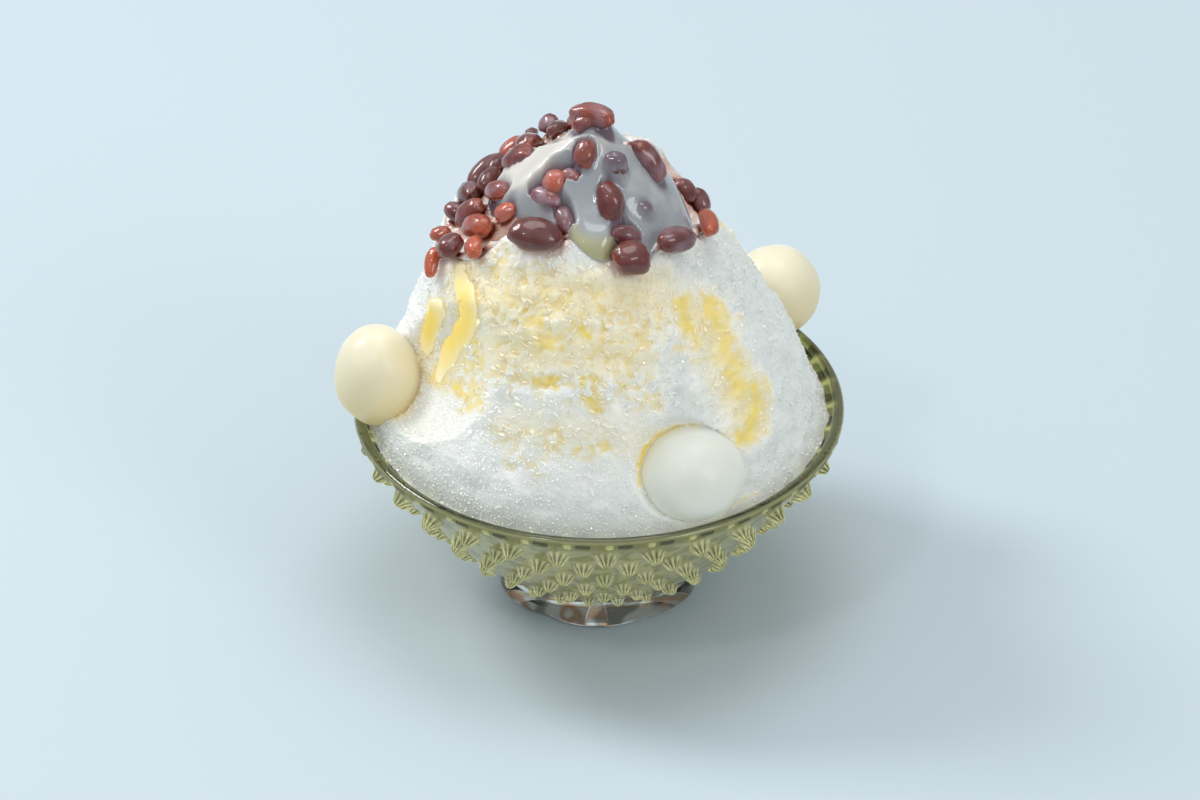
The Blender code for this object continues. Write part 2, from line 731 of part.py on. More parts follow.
def build_topping(beans_finish, milk_finish, ice):
    """The beans with the syrup that binds them, and the milk poured over them."""
    bpy.context.view_layer.update()
    ice_tree = BVHTree.FromObject(ice, bpy.context.evaluated_depsgraph_get())
    plan = bean_plan()
    core = layer("red_beans", core_reach, RINGS_UNDER_BEANS, 1.0, ICE_SEGMENTS,
                 lambda _share, _turn: CLEARANCE, core_high, beans_finish)
    beans = [build_bean("bean_%02d" % i, place, ice_tree) for i, place in enumerate(plan)]
    join(core, beans, "UNION")

    def milk_reach(turn):
        return around(MILK_REACH, turn)

    def milk_low(share, turn):
        core_share = min(share * milk_reach(turn) / core_reach(turn), 1.0)
        return core_high(core_share, turn) + MILK_GAP

    def milk_high(share, turn):
        thickness = MILK_EDGE + (MILK_THICKNESS - MILK_EDGE) * smooth((1.0 - share) / TAPER)
        return milk_low(share, turn) + thickness

    milk = layer("condensed_milk", milk_reach, MILK_RINGS, MILK_EASING, MILK_SEGMENTS,
                 milk_low, milk_high, milk_finish)
    cutters = [build_bean_hole("hole_%02d" % i, place) for i, place in enumerate(plan)]
    join(milk, cutters, "DIFFERENCE")
    return core, milk


def shade(item):
    item.data.shade_smooth()
    item.data.set_sharp_from_angle(angle=SHARP_ANGLE)


def main():
    clear_scene()
    glass = material("pale_green_glass", (0.62, 0.68, 0.38), 0.05, 0.9)
    ice_white = material("shaved_ice_white", (0.86, 0.88, 0.88), 0.6)
    bean_red = material("cooked_red_bean", (0.20, 0.04, 0.03), 0.25)
    milk_white = material("condensed_milk_cream", (0.72, 0.71, 0.66), 0.2)
    rice_white = material("rice_dough_ivory", (0.80, 0.78, 0.68), 0.35)
    dish = build_dish(glass)
    ice = build_ice(ice_white)
    sockets = [build_dumpling("socket_" + name, centre, halves, turn, CLEARANCE, None)
               for name, centre, halves, turn in DUMPLINGS]
    funnels = [build_funnel("funnel_" + name, centre, halves)
               for name, centre, halves, _ in DUMPLINGS if name in SHOWN_WHOLE]
    join(ice, sockets + funnels, "DIFFERENCE")
    dumplings = [build_dumpling(name, centre, halves, turn, 0.0, rice_white)
                 for name, centre, halves, turn in DUMPLINGS]
    beans, milk = build_topping(bean_red, milk_white, ice)
    for item in (dish, ice, beans, milk, *dumplings):
        shade(item)


main()
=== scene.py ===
"""Looks of shaved ice heaped in a footed hobnail glass bowl.

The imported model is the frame: a glass bowl, a mound of ice, a cap of sweet red beans,
condensed milk poured over them and three rice dumplings. Metres, +Z up, with the origin
under the bowl's foot. The viewer stands on the -Y side. Directions round the bowl are
turns: 0 is the front (-Y) and a quarter turn is the right (+X).
"""
import logging
import math
import random
from collections.abc import Mapping, Sequence
from dataclasses import dataclass
from enum import Enum
from typing import Any

import bpy
import numpy as np
from bpy.types import ID, Material, Mesh, Node, NodeSocket, NodeTree, Object
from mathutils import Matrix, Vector, noise
from mathutils.bvhtree import BVHTree

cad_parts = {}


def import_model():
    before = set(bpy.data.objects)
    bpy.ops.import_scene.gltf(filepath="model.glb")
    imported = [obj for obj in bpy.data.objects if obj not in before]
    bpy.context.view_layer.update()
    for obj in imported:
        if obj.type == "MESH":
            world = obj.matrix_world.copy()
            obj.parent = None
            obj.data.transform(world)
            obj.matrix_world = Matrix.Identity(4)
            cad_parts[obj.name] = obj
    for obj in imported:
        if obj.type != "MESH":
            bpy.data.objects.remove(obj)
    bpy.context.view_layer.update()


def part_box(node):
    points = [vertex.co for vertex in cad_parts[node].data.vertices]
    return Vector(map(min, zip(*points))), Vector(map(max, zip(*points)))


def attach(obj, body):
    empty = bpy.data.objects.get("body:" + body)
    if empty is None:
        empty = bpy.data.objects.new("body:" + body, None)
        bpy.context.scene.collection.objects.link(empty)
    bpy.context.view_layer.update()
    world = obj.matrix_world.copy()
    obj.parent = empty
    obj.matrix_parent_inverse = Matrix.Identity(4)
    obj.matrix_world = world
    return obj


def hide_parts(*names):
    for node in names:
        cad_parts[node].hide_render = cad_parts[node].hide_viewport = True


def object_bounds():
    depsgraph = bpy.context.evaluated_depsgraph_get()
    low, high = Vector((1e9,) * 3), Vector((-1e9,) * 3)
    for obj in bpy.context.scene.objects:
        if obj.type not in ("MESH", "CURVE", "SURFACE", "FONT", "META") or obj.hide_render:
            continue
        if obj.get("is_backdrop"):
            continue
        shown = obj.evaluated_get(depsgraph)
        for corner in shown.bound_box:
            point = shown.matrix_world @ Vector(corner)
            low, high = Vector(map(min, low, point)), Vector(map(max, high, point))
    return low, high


Array = np.ndarray
Pair = tuple[float, float]
Pixels = tuple[Pair, ...]

LOG = logging.getLogger("shaved_ice")
MM = 0.001
BODY = "root"
BLACK, WHITE = "#000000", "#FFFFFF"


class Slot(Enum):
    """The record's material slots."""

    GLASS = "pale_green_glass"
    ICE = "shaved_ice_white"
    BEAN = "cooked_red_bean"
    MILK = "condensed_milk_cream"
    RICE = "rice_dough_ivory"


class Value(Enum):
    """Names of the values that a mesh keeps at its points for its material."""

    SOAKED = "soaked"
    LOOSE = "loose"
    FLAKY = "flaky"
    STAIN = "stain"
    WET_AND_SHADE = "wet"
    TONE = "tone"
    FILM = "film"
    VEIL = "veil"
    PAINTED_GROOVE_SHADE = "groove"
    RIDGE_GLINT = "ridge"
    OUTWARD = "outward"
    SIZE = "size"


# ---- numbers and places
def smooth(share: Array | float) -> Array:
    """Eases a share from 0 to 1, flat at both ends."""
    share = np.clip(share, 0.0, 1.0)
    return share * share * (3.0 - 2.0 * share)


def circle(count: int) -> Array:
    """Directions that go evenly round a circle."""
    return 2 * np.pi * np.arange(count) / count


def polar(radius: Array, turn: Array, height: Array) -> Array:
    """Places given by radius, turn and height, as x, y, z in the last axis."""
    radius, turn, height = np.broadcast_arrays(radius, turn, height)
    return np.stack((radius * np.sin(turn), -radius * np.cos(turn), height), axis=-1)


def round_axis(places: Array) -> tuple[Array, Array]:
    """Radius and turn of places."""
    x, y = places[..., 0], places[..., 1]
    return np.hypot(x, y), np.arctan2(x, -y)


def unit(vectors: Array) -> Array:
    """The same vectors at length 1."""
    return vectors / np.maximum(np.linalg.norm(vectors, axis=-1, keepdims=True), 1e-12)


def lumps(places: Array, size: float, shift: float = 0.0) -> Array:
    """Smooth noise, about -1 to 1.

    Args:
        places: Places in metres, x, y, z in the last axis.
        size: Size of a lump in metres.
        shift: Moves the noise, so that two uses differ.

    Returns:
        One value a place.
    """
    scaled = places.reshape(-1, 3) / size + shift
    return np.array([noise.noise(p) for p in scaled.tolist()]).reshape(places.shape[:-1])


def granules(places: Array, size: float) -> Array:
    """Rounded grains packed side by side.

    Args:
        places: Places in metres.
        size: Size of a grain in metres.

    Returns:
        For each place, 1 at a grain's middle and about 0 between grains.
    """
    scaled = places.reshape(-1, 3) / size
    nearest = np.array([noise.voronoi(p)[0][0] for p in scaled.tolist()])
    return np.clip(1.0 - nearest, 0.0, 1.0).reshape(places.shape[:-1])


def chips(places: Array, size: float) -> Array:
    """Flat shavings that lie every way, with a step from each to the next.

    Args:
        places: Places in metres.
        size: Size of a shaving in metres.

    Returns:
        How far each place is raised, about -1 to 1.
    """
    scaled = places.reshape(-1, 3) / size
    found = []
    for place in scaled.tolist():
        cell = noise.voronoi(place)[1][0]
        tilt = noise.cell_vector(cell) * 2.0 - Vector((1.0, 1.0, 1.0))
        found.append(0.5 * tilt.x + 0.9 * (Vector(place) - cell).dot(tilt))
    return np.clip(found, -1.0, 1.0).reshape(places.shape[:-1])


def spread(field: Array, times: int, own: int) -> None:
    """Evens out a field of rings in place, each value with its four neighbours.

    Args:
        field: One value a ring and direction. The first and last ring stay.
        times: How often it is done.
        own: How much a value counts against one neighbour.
    """
    for _ in range(times):
        field[1:-1] = (field[:-2] + field[2:] + np.roll(field, 1, 1)[1:-1]
                       + np.roll(field, -1, 1)[1:-1] + own * field[1:-1]) / (own + 4)


def distance_to_line(places: Array, line: Array) -> Array:
    """How far places lie from a line through points.

    Args:
        places: Places, in as many dimensions as the line's points.
        line: The line's points.

    Returns:
        One distance a place.
    """
    nearest = np.full(places.shape[:-1], np.inf)
    for a, b in zip(line[:-1], line[1:]):
        way = b - a
        share = np.clip((places - a) @ way / (way @ way), 0.0, 1.0)[..., None]
        nearest = np.minimum(nearest, np.linalg.norm(places - a - share * way, axis=-1))
    return nearest


def distances(tree: BVHTree, places: Array) -> Array:
    """How far places lie from the nearest face of a tree."""
    flat = places.reshape(-1, 3).tolist()
    return np.array([tree.find_nearest(p)[3] for p in flat]).reshape(places.shape[:-1])


@dataclass(frozen=True)
class Curve:
    """A smooth curve through (place, value) points.

    Attributes:
        points: The points, by rising place.
        period: Length after which the curve repeats, or 0 where it doesn't.
    """

    points: tuple[Pair, ...]
    period: float = 0.0

    def at(self, places: Array | float) -> Array:
        """Reads the curve.

        Args:
            places: Where to read it.

        Returns:
            The value at each place.
        """
        knots = list(self.points)
        if self.period:
            before = [(a - self.period, v) for a, v in knots[-2:]]
            after = [(a + self.period, v) for a, v in knots[:2]]
            knots = before + knots + after
        a, v = np.array(knots).T
        steps = np.diff(v) / np.diff(a)
        middle = (v[2:] - v[:-2]) / (a[2:] - a[:-2])
        slope = np.concatenate((steps[:1], middle, steps[-1:]))
        x = np.asarray(places, float)
        if self.period:
            x = np.mod(x, self.period)
        x = np.clip(x, a[0], a[-1])
        i = np.clip(np.searchsorted(a, x, side="left") - 1, 0, len(a) - 2)
        span = a[i + 1] - a[i]
        t = (x - a[i]) / span
        return ((2 * t ** 3 - 3 * t ** 2 + 1) * v[i] + (t ** 3 - 2 * t ** 2 + t) * span * slope[i]
                + (3 * t ** 2 - 2 * t ** 3) * v[i + 1] + (t ** 3 - t ** 2) * span * slope[i + 1])


# ---- meshes and pieces
def show(name: str, data: ID) -> Object:
    """Makes an object of a mesh, a lamp or a camera and puts it into the scene."""
    made = bpy.data.objects.new(name, data)
    bpy.context.scene.collection.objects.link(made)
    return made


def drop(*items: Object) -> None:
    """Removes objects that were only patterns or sources."""
    for item in items:
        bpy.data.objects.remove(item, do_unlink=True)


def note(mesh: Mesh, value: Value, numbers: Array) -> None:
    """Keeps a value at each point of a mesh.

    Args:
        mesh: The mesh.
        value: The value's name.
        numbers: For each point a number, or a direction's x, y and z.
    """
    kind, key = ("FLOAT_VECTOR", "vector") if numbers.ndim == 2 else ("FLOAT", "value")
    attribute = mesh.attributes.new(value.value, kind, "POINT")
    attribute.data.foreach_set(key, numbers.astype(np.float32).ravel())


class Skin:
    """Gathers closed skins, each lofted through rings, into one mesh with values at its points."""

    def __init__(self) -> None:
        """Starts with no skin."""
        self.places: list[Array] = []
        self.faces: list[tuple[int, ...]] = []
        self.values: dict[Value, list[Array]] = {}
        self.count = 0

    def add(self, rings: Array, start: Array, end: Array,
            values: Mapping[Value, Array] | None = None) -> "Skin":
        """Adds one closed skin, its faces pointing outwards.

        Args:
            rings: Places of the rings' points: ring, point, x y z.
            start: The tip that closes the first ring.
            end: The tip that closes the last ring.
            values: For each name, one value a ring point. A tip takes its ring's mean.

        Returns:
            The gathered skins.
        """
        ring_count, sides = rings.shape[:2]
        index = np.arange(ring_count * sides).reshape(ring_count, sides) + 1
        after = np.roll(index, -1, axis=1)
        quads = np.stack((index[:-1], after[:-1], after[1:], index[1:]), axis=-1).reshape(-1, 4)
        last = ring_count * sides + 1
        near = np.stack((np.zeros(sides, int), after[0], index[0]), axis=-1)
        far = np.stack((index[-1], after[-1], np.full(sides, last)), axis=-1)
        places = np.concatenate((np.reshape(start, (1, 3)), rings.reshape(-1, 3),
                                 np.reshape(end, (1, 3))))
        corners = places - places.mean(axis=0)
        triangles = np.concatenate((quads[:, :3], quads[:, [0, 2, 3]], near, far))
        volume = np.einsum("ij,ij->", corners[triangles[:, 0]],
                           np.cross(corners[triangles[:, 1]], corners[triangles[:, 2]]))
        for faces in (quads, near, far):
            faces = faces + self.count
            if volume < 0.0:
                faces = faces[:, ::-1]
            self.faces.extend(map(tuple, faces.tolist()))
        self.places.append(places)
        self.count += len(places)
        for name, value in (values or {}).items():
            self.values.setdefault(name, []).append(np.concatenate((
                [value[0].mean()], value.ravel(), [value[-1].mean()])))
        return self

    def tree(self) -> BVHTree:
        """The gathered skins as a tree to cast rays at."""
        return BVHTree.FromPolygons(np.concatenate(self.places).tolist(), self.faces)

    def build(self, name: str, finish: Material | None = None) -> Object:
        """Makes the object.

        Args:
            name: The object's name.
            finish: Its material, or none where it is only a pattern for copies.

        Returns:
            The object, at the origin, shaded smooth.
        """
        mesh = bpy.data.meshes.new(name)
        mesh.from_pydata(np.concatenate(self.places).tolist(), [], self.faces)
        for value, parts in self.values.items():
            note(mesh, value, np.concatenate(parts))
        mesh.shade_smooth()
        if finish is not None:
            mesh.materials.append(finish)
        return show(name, mesh)


def keep_piece(piece: Object, slot: Slot, *nodes: str) -> None:
    """Fixes a finished piece to the bowl's body and reports it.

    Args:
        piece: The finished piece.
        slot: The record's material slot that it stands for. Not used.
        nodes: CAD nodes that it replaces, if any.
    """
    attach(piece, BODY)
    if nodes:
        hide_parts(*nodes)
    triangles = sum(len(p.vertices) - 2 for p in piece.data.polygons)
    LOG.info("%s: %d triangles, replaces %s", piece.name, triangles, ", ".join(nodes) or "nothing")


# ---- node trees
def linear(hex_colour: str) -> tuple[float, float, float, float]:
    """Turns an sRGB hex colour into a linear one.

    Args:
        hex_colour: A colour such as "#F4E3A0".

    Returns:
        Red, green, blue and alpha, from 0 to 1.
    """
    shares = [int(hex_colour[i:i + 2], 16) / 255 for i in (1, 3, 5)]
    red, green, blue = [s / 12.92 if s <= 0.04045 else ((s + 0.055) / 1.055) ** 2.4 for s in shares]
    return red, green, blue, 1.0


class Nodes:
    """A node tree that is filled node by node."""

    def __init__(self, tree: NodeTree, prefix: str = "") -> None:
        """Takes the tree, and the words that the types of its nodes start with."""
        self.tree = tree
        self.prefix = prefix

    def add(self, kind: str, inputs: Mapping[str | int, Any] | None = None, output: str = "",
            stops: Sequence[tuple[float, str]] = (), **settings: Any) -> NodeSocket:
        """Adds one node with its settings and links.

        Args:
            kind: The node's type, after the tree's prefix.
            inputs: What goes into each input, by its name or place, as fill takes it.
            output: The output that is wanted, or else the first one in use.
            stops: Place and hex colour of each stop of a colour ramp, going up.
            settings: Values of the node's own settings.

        Returns:
            That output.
        """
        node = self.tree.nodes.new(self.prefix + kind)
        for name, value in settings.items():
            setattr(node, name, value)
        self.fill(node, inputs or {})
        if stops:
            elements = node.color_ramp.elements
            while len(elements) < len(stops):
                elements.new(1.0)
            for element, (place, colour) in zip(elements, stops):
                element.position = place
                element.color = linear(colour)
        return node.outputs[output] if output else next(o for o in node.outputs if o.enabled)

    def fill(self, node: Node, inputs: Mapping[str | int, Any]) -> None:
        """Sets or links a node's inputs.

        Args:
            node: The node.
            inputs: For each input a plain value, another node's output, or the name of a
                value that the mesh keeps.
        """
        for name, value in inputs.items():
            if isinstance(value, Value):
                value = self.add("Attribute", attribute_name=value.value, output="Fac")
            if isinstance(value, NodeSocket):
                self.tree.links.new(value, node.inputs[name])
            else:
                node.inputs[name].default_value = value


class GrowingTree(Nodes):
    """A geometry node tree with named inputs, applied to an object as a plain mesh."""

    def __init__(self, name: str, sizes: Mapping[str, tuple[str, Any]]) -> None:
        """Makes the tree's ends.

        Args:
            name: The tree's name.
            sizes: For each named input, its type and its value.
        """
        super().__init__(bpy.data.node_groups.new(name, "GeometryNodeTree"))
        self.sizes = sizes
        face = self.tree.interface
        face.new_socket(name="Geometry", in_out="INPUT", socket_type="NodeSocketGeometry")
        for label, (kind, _) in sizes.items():
            face.new_socket(name=label, in_out="INPUT", socket_type="NodeSocket" + kind)
        face.new_socket(name="Geometry", in_out="OUTPUT", socket_type="NodeSocketGeometry")
        self.entry = self.tree.nodes.new("NodeGroupInput").outputs

    def grow(self, source: Object, name: str, result: NodeSocket) -> Object:
        """Evaluates the tree on a source and keeps the result as a plain mesh.

        Args:
            source: The object that the tree starts from. It stays as it is.
            name: Name of the new object.
            result: The last geometry of the tree.

        Returns:
            A new object with the realized mesh.
        """
        self.fill(self.tree.nodes.new("NodeGroupOutput"), {"Geometry": result})
        modifier = source.modifiers.new(self.tree.name, "NODES")
        modifier.node_group = self.tree
        for item in self.tree.interface.items_tree:
            if item.in_out == "INPUT" and item.name in self.sizes:
                modifier[item.identifier] = self.sizes[item.name][1]
        source.update_tag()
        bpy.context.view_layer.update()
        evaluated = source.evaluated_get(bpy.context.evaluated_depsgraph_get())
        mesh = bpy.data.meshes.new_from_object(evaluated)
        mesh.name = name
        source.modifiers.remove(modifier)
        return show(name, mesh)


class Paint(Nodes):
    """A material in the making, with one Principled shader."""

    def __init__(self, name: str) -> None:
        """Starts the material."""
        self.material = bpy.data.materials.new(name)
        self.material.use_nodes = True
        super().__init__(self.material.node_tree, "ShaderNode")

    @property
    def place(self) -> NodeSocket:
        """Places on the object, in metres."""
        return self.add("TexCoord", output="Object")

    def layered(self, colour: NodeSocket,
                *layers: tuple[NodeSocket | Value, NodeSocket | str]) -> NodeSocket:
        """Lays colours over a first one.

        Args:
            colour: The first colour.
            layers: For each layer its mask, 1 where it covers all below it, and its colour.

        Returns:
            The colour of them all.
        """
        for mask, over in layers:
            over = linear(over) if isinstance(over, str) else over
            colour = self.add("Mix", {"Factor": mask, "A": colour, "B": over}, data_type="RGBA")
        return colour

    def dressed(self, inputs: Mapping[str, Any]) -> Material:
        """The material, once its shader has these inputs."""
        self.fill(self.tree.nodes["Principled BSDF"], inputs)
        return self.material


# ---- finishes
@dataclass(frozen=True)
class PressedSodaLimeGlass:
    """Soda-lime glass, pressed in a mould and fire-polished.

    To the eye it is clear and very glossy, with a pale yellow-green cast that deepens to
    olive in the thick rim, and soft waves where the mould left them. Light and shade are
    painted into its colour. The dark and light dashes in the rim are painted refraction of the
    hobnails seen through it. The dark line along the lip and the dark blotches over the wall
    are painted shade. The grey and amber patches in the foot are painted reflections of what
    it mirrors. The hobnails' flutes hold painted shade, and their ridges and the light dashes
    glow with painted glints.
    """

    foot: str = "#F2F5F0"
    wall: str = "#DDD79C"
    shade: str = "#9C9A60"
    painted_lip: str = "#62633C"
    rim: str = "#84863E"
    groove: str = "#1C1F08"
    ridge: str = "#F2F5B4"
    painted_rim_dash: str = "#24260F"
    painted_reflection_patch: str = "#6C6C64"
    amber: str = "#B4794C"
    height: float = 0.051
    marks_around: int = 36
    wave: float = 7 * MM

    def mask(self, paint: Paint, *bands: tuple[NodeSocket, tuple[float, ...]]) -> NodeSocket:
        """A mask where each of two numbers lies in a band.

        Args:
            paint: The material in the making.
            bands: Each number with four rising values, the full band between the middle two.

        Returns:
            The product of both, from 0 to 1.
        """
        found = [paint.add("ValToRGB", {"Fac": number},
                           stops=tuple(zip(values, (BLACK, WHITE, WHITE, BLACK))))
                 for number, values in bands]
        return paint.add("Math", {0: found[0], 1: found[1]}, operation="MULTIPLY")

    def material(self) -> Material:
        """Makes the material."""
        paint = Paint("pressed_soda_lime_glass")
        axes = paint.add("SeparateXYZ", {0: paint.place}).node.outputs
        share = paint.add("MapRange", {"Value": axes["Z"], "From Min": 0.0, "From Max": self.height})
        # the last stop is a painted dark line along the lip, standing in for shade
        body = paint.add("ValToRGB", {"Fac": share}, stops=(
            (0.16, self.foot), (0.28, self.wall), (0.90, self.wall), (0.93, self.rim),
            (0.978, self.rim), (0.986, self.wall), (0.994, self.painted_lip)))
        turn = paint.add("Math", {0: axes["X"], 1: axes["Y"]}, operation="ARCTAN2")
        turns = paint.add("Math", {0: turn, 1: self.marks_around / (2 * math.pi)}, operation="MULTIPLY")
        phase = paint.add("Math", {0: turns}, operation="FRACT")
        painted_reflection_patch, glint, painted_refraction_murk, wave = (
            paint.add("TexNoise", {"Vector": paint.place, "Scale": 1 / size, "Detail": 1.0,
                                   "Roughness": roughness})
            for size, roughness in ((12 * MM, 0.5), (10 * MM, 0.7), (4 * MM, 0.5),
                                    (self.wave, 0.5)))
        in_rim = (share, (0.930, 0.938, 0.972, 0.980))
        in_wall = (share, (0.20, 0.30, 0.90, 0.93))
        in_foot = (share, (0.0, 0.02, 0.15, 0.19))
        colour = paint.layered(
            body,
            # painted refraction: dark blotches over the wall
            (self.mask(paint, in_wall, (painted_refraction_murk, (0.46, 0.58, 0.90, 0.95))), self.shade),
            # painted shade: dark in the hobnails' flutes
            (Value.PAINTED_GROOVE_SHADE, self.groove),
            # painted refraction: dark dashes in the rim for the hobnails seen through it
            (self.mask(paint, in_rim, (phase, (0.18, 0.22, 0.54, 0.58))), self.painted_rim_dash),
            # painted reflection: grey patches in the foot
            (self.mask(paint, in_foot, (painted_reflection_patch, (0.48, 0.54, 0.80, 0.90))), self.painted_reflection_patch),
            # painted reflection: amber glints in the foot
            (self.mask(paint, in_foot, (glint, (0.26, 0.32, 0.38, 0.46))), self.amber))
        # painted refraction: light dashes in the rim, which glow as painted glints
        light = self.mask(paint, in_rim, (phase, (0.64, 0.68, 0.80, 0.86)))
        # painted glints: the ridges and the light dashes glow in the ridge colour
        shine = paint.add("Math", {0: Value.RIDGE_GLINT, 1: light}, operation="MAXIMUM")
        return paint.dressed({
            "Base Color": colour,
            "Emission Color": paint.add("ValToRGB", {"Fac": shine}, stops=(
                (0.0, BLACK), (1.0, self.ridge))),
            "Emission Strength": 0.24,
            "Roughness": 0.02, "IOR": 1.52, "Transmission Weight": 1.0,
            "Normal": paint.add("Bump", {
                "Height": wave, "Distance": 0.12 * MM, "Strength": 0.5}),
        })


@dataclass(frozen=True)
class ShavedIce:
    """Clear ice shaved into wet grains.

    To the eye the grains scatter light to a soft white, a little blue-grey where they melt,
    and turn cream to egg yellow where condensed milk has soaked in. Wet facets sparkle.
    The grey is also painted shade on the right, the side away from the key light. A
    painted glow, emission in the ice's own colour, stands in for light scattered between
    the grains.
    """

    white: str = "#F9F8F3"
    grey: str = "#E0E2DD"
    cream: str = "#F5ECD2"
    yellow: str = "#F5E3AC"
    gold: str = "#FADC6E"
    deep: str = "#FBCB42"
    syrup: str = "#E3BBAA"
    # painted glow: emission that stands in for the light the grains pass on to each other, which
    # brightens the gaps between them
    painted_glow: float = 0.07
    cloud: float = 9 * MM
    grain: float = 0.9 * MM

    def tinted(self, paint: Paint, share: float = 1.0) -> NodeSocket:
        """The ice's colour: white, greyer where wet and, as painted shade, on the right, stained by
        milk and syrup.

        Args:
            paint: The material in the making.
            share: How much of the milk's stain shows, from 0 to 1.

        Returns:
            The colour output.
        """
        cloud = paint.add("TexNoise", {"Vector": paint.place, "Scale": 1 / self.cloud, "Detail": 3.0})
        patchy = paint.add("Math", {0: cloud, 1: 0.3, 2: 0.36}, operation="MULTIPLY_ADD")
        # the wet value greys the ice where it melts, and on the right as painted shade
        wet = paint.add("Math", {0: Value.WET_AND_SHADE, 1: patchy}, operation="MULTIPLY")
        bare = paint.add("ValToRGB", {"Fac": wet}, stops=((0.10, self.white), (0.60, self.grey)))
        soaked = paint.add("Math", {0: Value.SOAKED, 1: share}, operation="MULTIPLY")
        milky = paint.add("ValToRGB", {"Fac": soaked}, stops=(
            (0.0, self.white), (0.30, self.cream), (0.58, self.yellow), (0.80, self.gold),
            (1.0, self.deep)))
        cover = paint.add("MapRange", {"Value": soaked, "From Min": 0.0, "From Max": 0.2})
        stain = paint.add("Math", {0: Value.STAIN, 1: 0.7}, operation="MULTIPLY")
        return paint.layered(bare, (cover, milky), (stain, self.syrup))

    def material(self) -> Material:
        """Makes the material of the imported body."""
        paint = Paint("shaved_ice")
        fine = paint.add("TexNoise", {
            "Vector": paint.place, "Scale": 1 / (0.5 * self.grain), "Roughness": 0.6})
        colour = self.tinted(paint)
        return paint.dressed({
            "Base Color": colour, "Roughness": 0.35, "IOR": 1.31,
            "Subsurface Weight": 1.0, "Subsurface Radius": (1.0, 1.0, 1.0),
            "Subsurface Scale": 2.0 * MM, "Coat Weight": 0.2, "Coat Roughness": 0.15,
            "Normal": paint.add("Bump", {
                "Height": fine, "Distance": 0.15 * MM, "Strength": 0.4}),
            # painted glow
            "Emission Color": colour, "Emission Strength": self.painted_glow,
        })

    def flake_material(self) -> Material:
        """Makes the material of loose shavings, frosted and thin."""
        paint = Paint("ice_shavings")
        colour = self.tinted(paint, 0.95)
        return paint.dressed({
            "Base Color": colour, "Roughness": 0.45, "IOR": 1.31,
            "Coat Weight": 0.1, "Coat Roughness": 0.12,
            # painted glow
            "Emission Color": colour, "Emission Strength": 1.2 * self.painted_glow,
        })

    def crystal_material(self) -> Material:
        """Makes the material of loose grains, frosted inside with wet, bright facets."""
        paint = Paint("ice_grains")
        colour = self.tinted(paint, 0.9)
        return paint.dressed({
            "Base Color": colour, "Roughness": 0.15, "IOR": 1.31,
            "Coat Weight": 0.7, "Coat Roughness": 0.05,
            # painted glow
            "Emission Color": colour, "Emission Strength": 1.5 * self.painted_glow,
        })


@dataclass(frozen=True)
class SimmeredBeanSkin:
    """Red beans simmered soft in sugar syrup.

    To the eye the skins are brown-red, orange where light comes through, which is painted
    into their colour, under a thin glossy syrup, with lilac-white films where milk clings
    to them.
    """

    dark: str = "#43150F"
    red: str = "#71281F"
    orange: str = "#C25626"
    film: str = "#A88E9C"
    mottle: float = 2.5 * MM
    wrinkle: float = 1.5 * MM

    def material(self) -> Material:
        """Makes the material."""
        paint = Paint("simmered_bean_skin")
        mottle = paint.add("TexNoise", {"Vector": paint.place, "Scale": 1 / self.mottle})
        shift = paint.add("Math", {0: mottle, 1: 0.5, 2: -0.25}, operation="MULTIPLY_ADD")
        share = paint.add("Math", {0: Value.TONE, 1: shift}, operation="ADD", use_clamp=True)
        skin = paint.add("ValToRGB", {"Fac": share}, stops=(
            (0.0, self.dark), (0.45, self.red), (1.0, self.orange)))
        wrinkles = paint.add("TexNoise", {
            "Vector": paint.place, "Scale": 1 / self.wrinkle, "Detail": 3.0, "Roughness": 0.6})
        return paint.dressed({
            "Base Color": paint.layered(skin, (Value.FILM, self.film)),
            "Roughness": 0.36, "IOR": 1.45,
            "Subsurface Weight": 0.4, "Subsurface Radius": (1.0, 0.3, 0.1),
            "Subsurface Scale": 1.5 * MM, "Coat Weight": 1.0, "Coat Roughness": 0.06,
            "Normal": paint.add("Bump", {
                "Height": wrinkles, "Distance": 0.45 * MM, "Strength": 0.7}),
        })


@dataclass(frozen=True)
class SyrupCrust:
    """Crumbled ice and bean paste that red syrup has run through.

    To the eye it is icy pinkish white where the syrup is thin and dark brown-red beside
    the beans.
    """

    ice: str = "#F3ECE4"
    pink: str = "#E3B6A4"
    dark: str = "#7E3A2E"
    crumb: float = 0.6 * MM

    def material(self) -> Material:
        """Makes the material."""
        paint = Paint("syrup_crust")
        crumbs = paint.add("TexNoise", {"Vector": paint.place, "Scale": 1 / self.crumb})
        return paint.dressed({
            "Base Color": paint.add("ValToRGB", {"Fac": Value.TONE}, stops=(
                (0.1, self.ice), (0.4, self.pink), (0.8, self.dark))),
            "Roughness": 0.2,
            "Subsurface Weight": 0.4, "Subsurface Radius": (1.0, 0.7, 0.6),
            "Subsurface Scale": 0.8 * MM, "Coat Weight": 1.0, "Coat Roughness": 0.08,
            "Normal": paint.add("Bump", {
                "Height": crumbs, "Distance": 0.25 * MM, "Strength": 0.7}),
        })


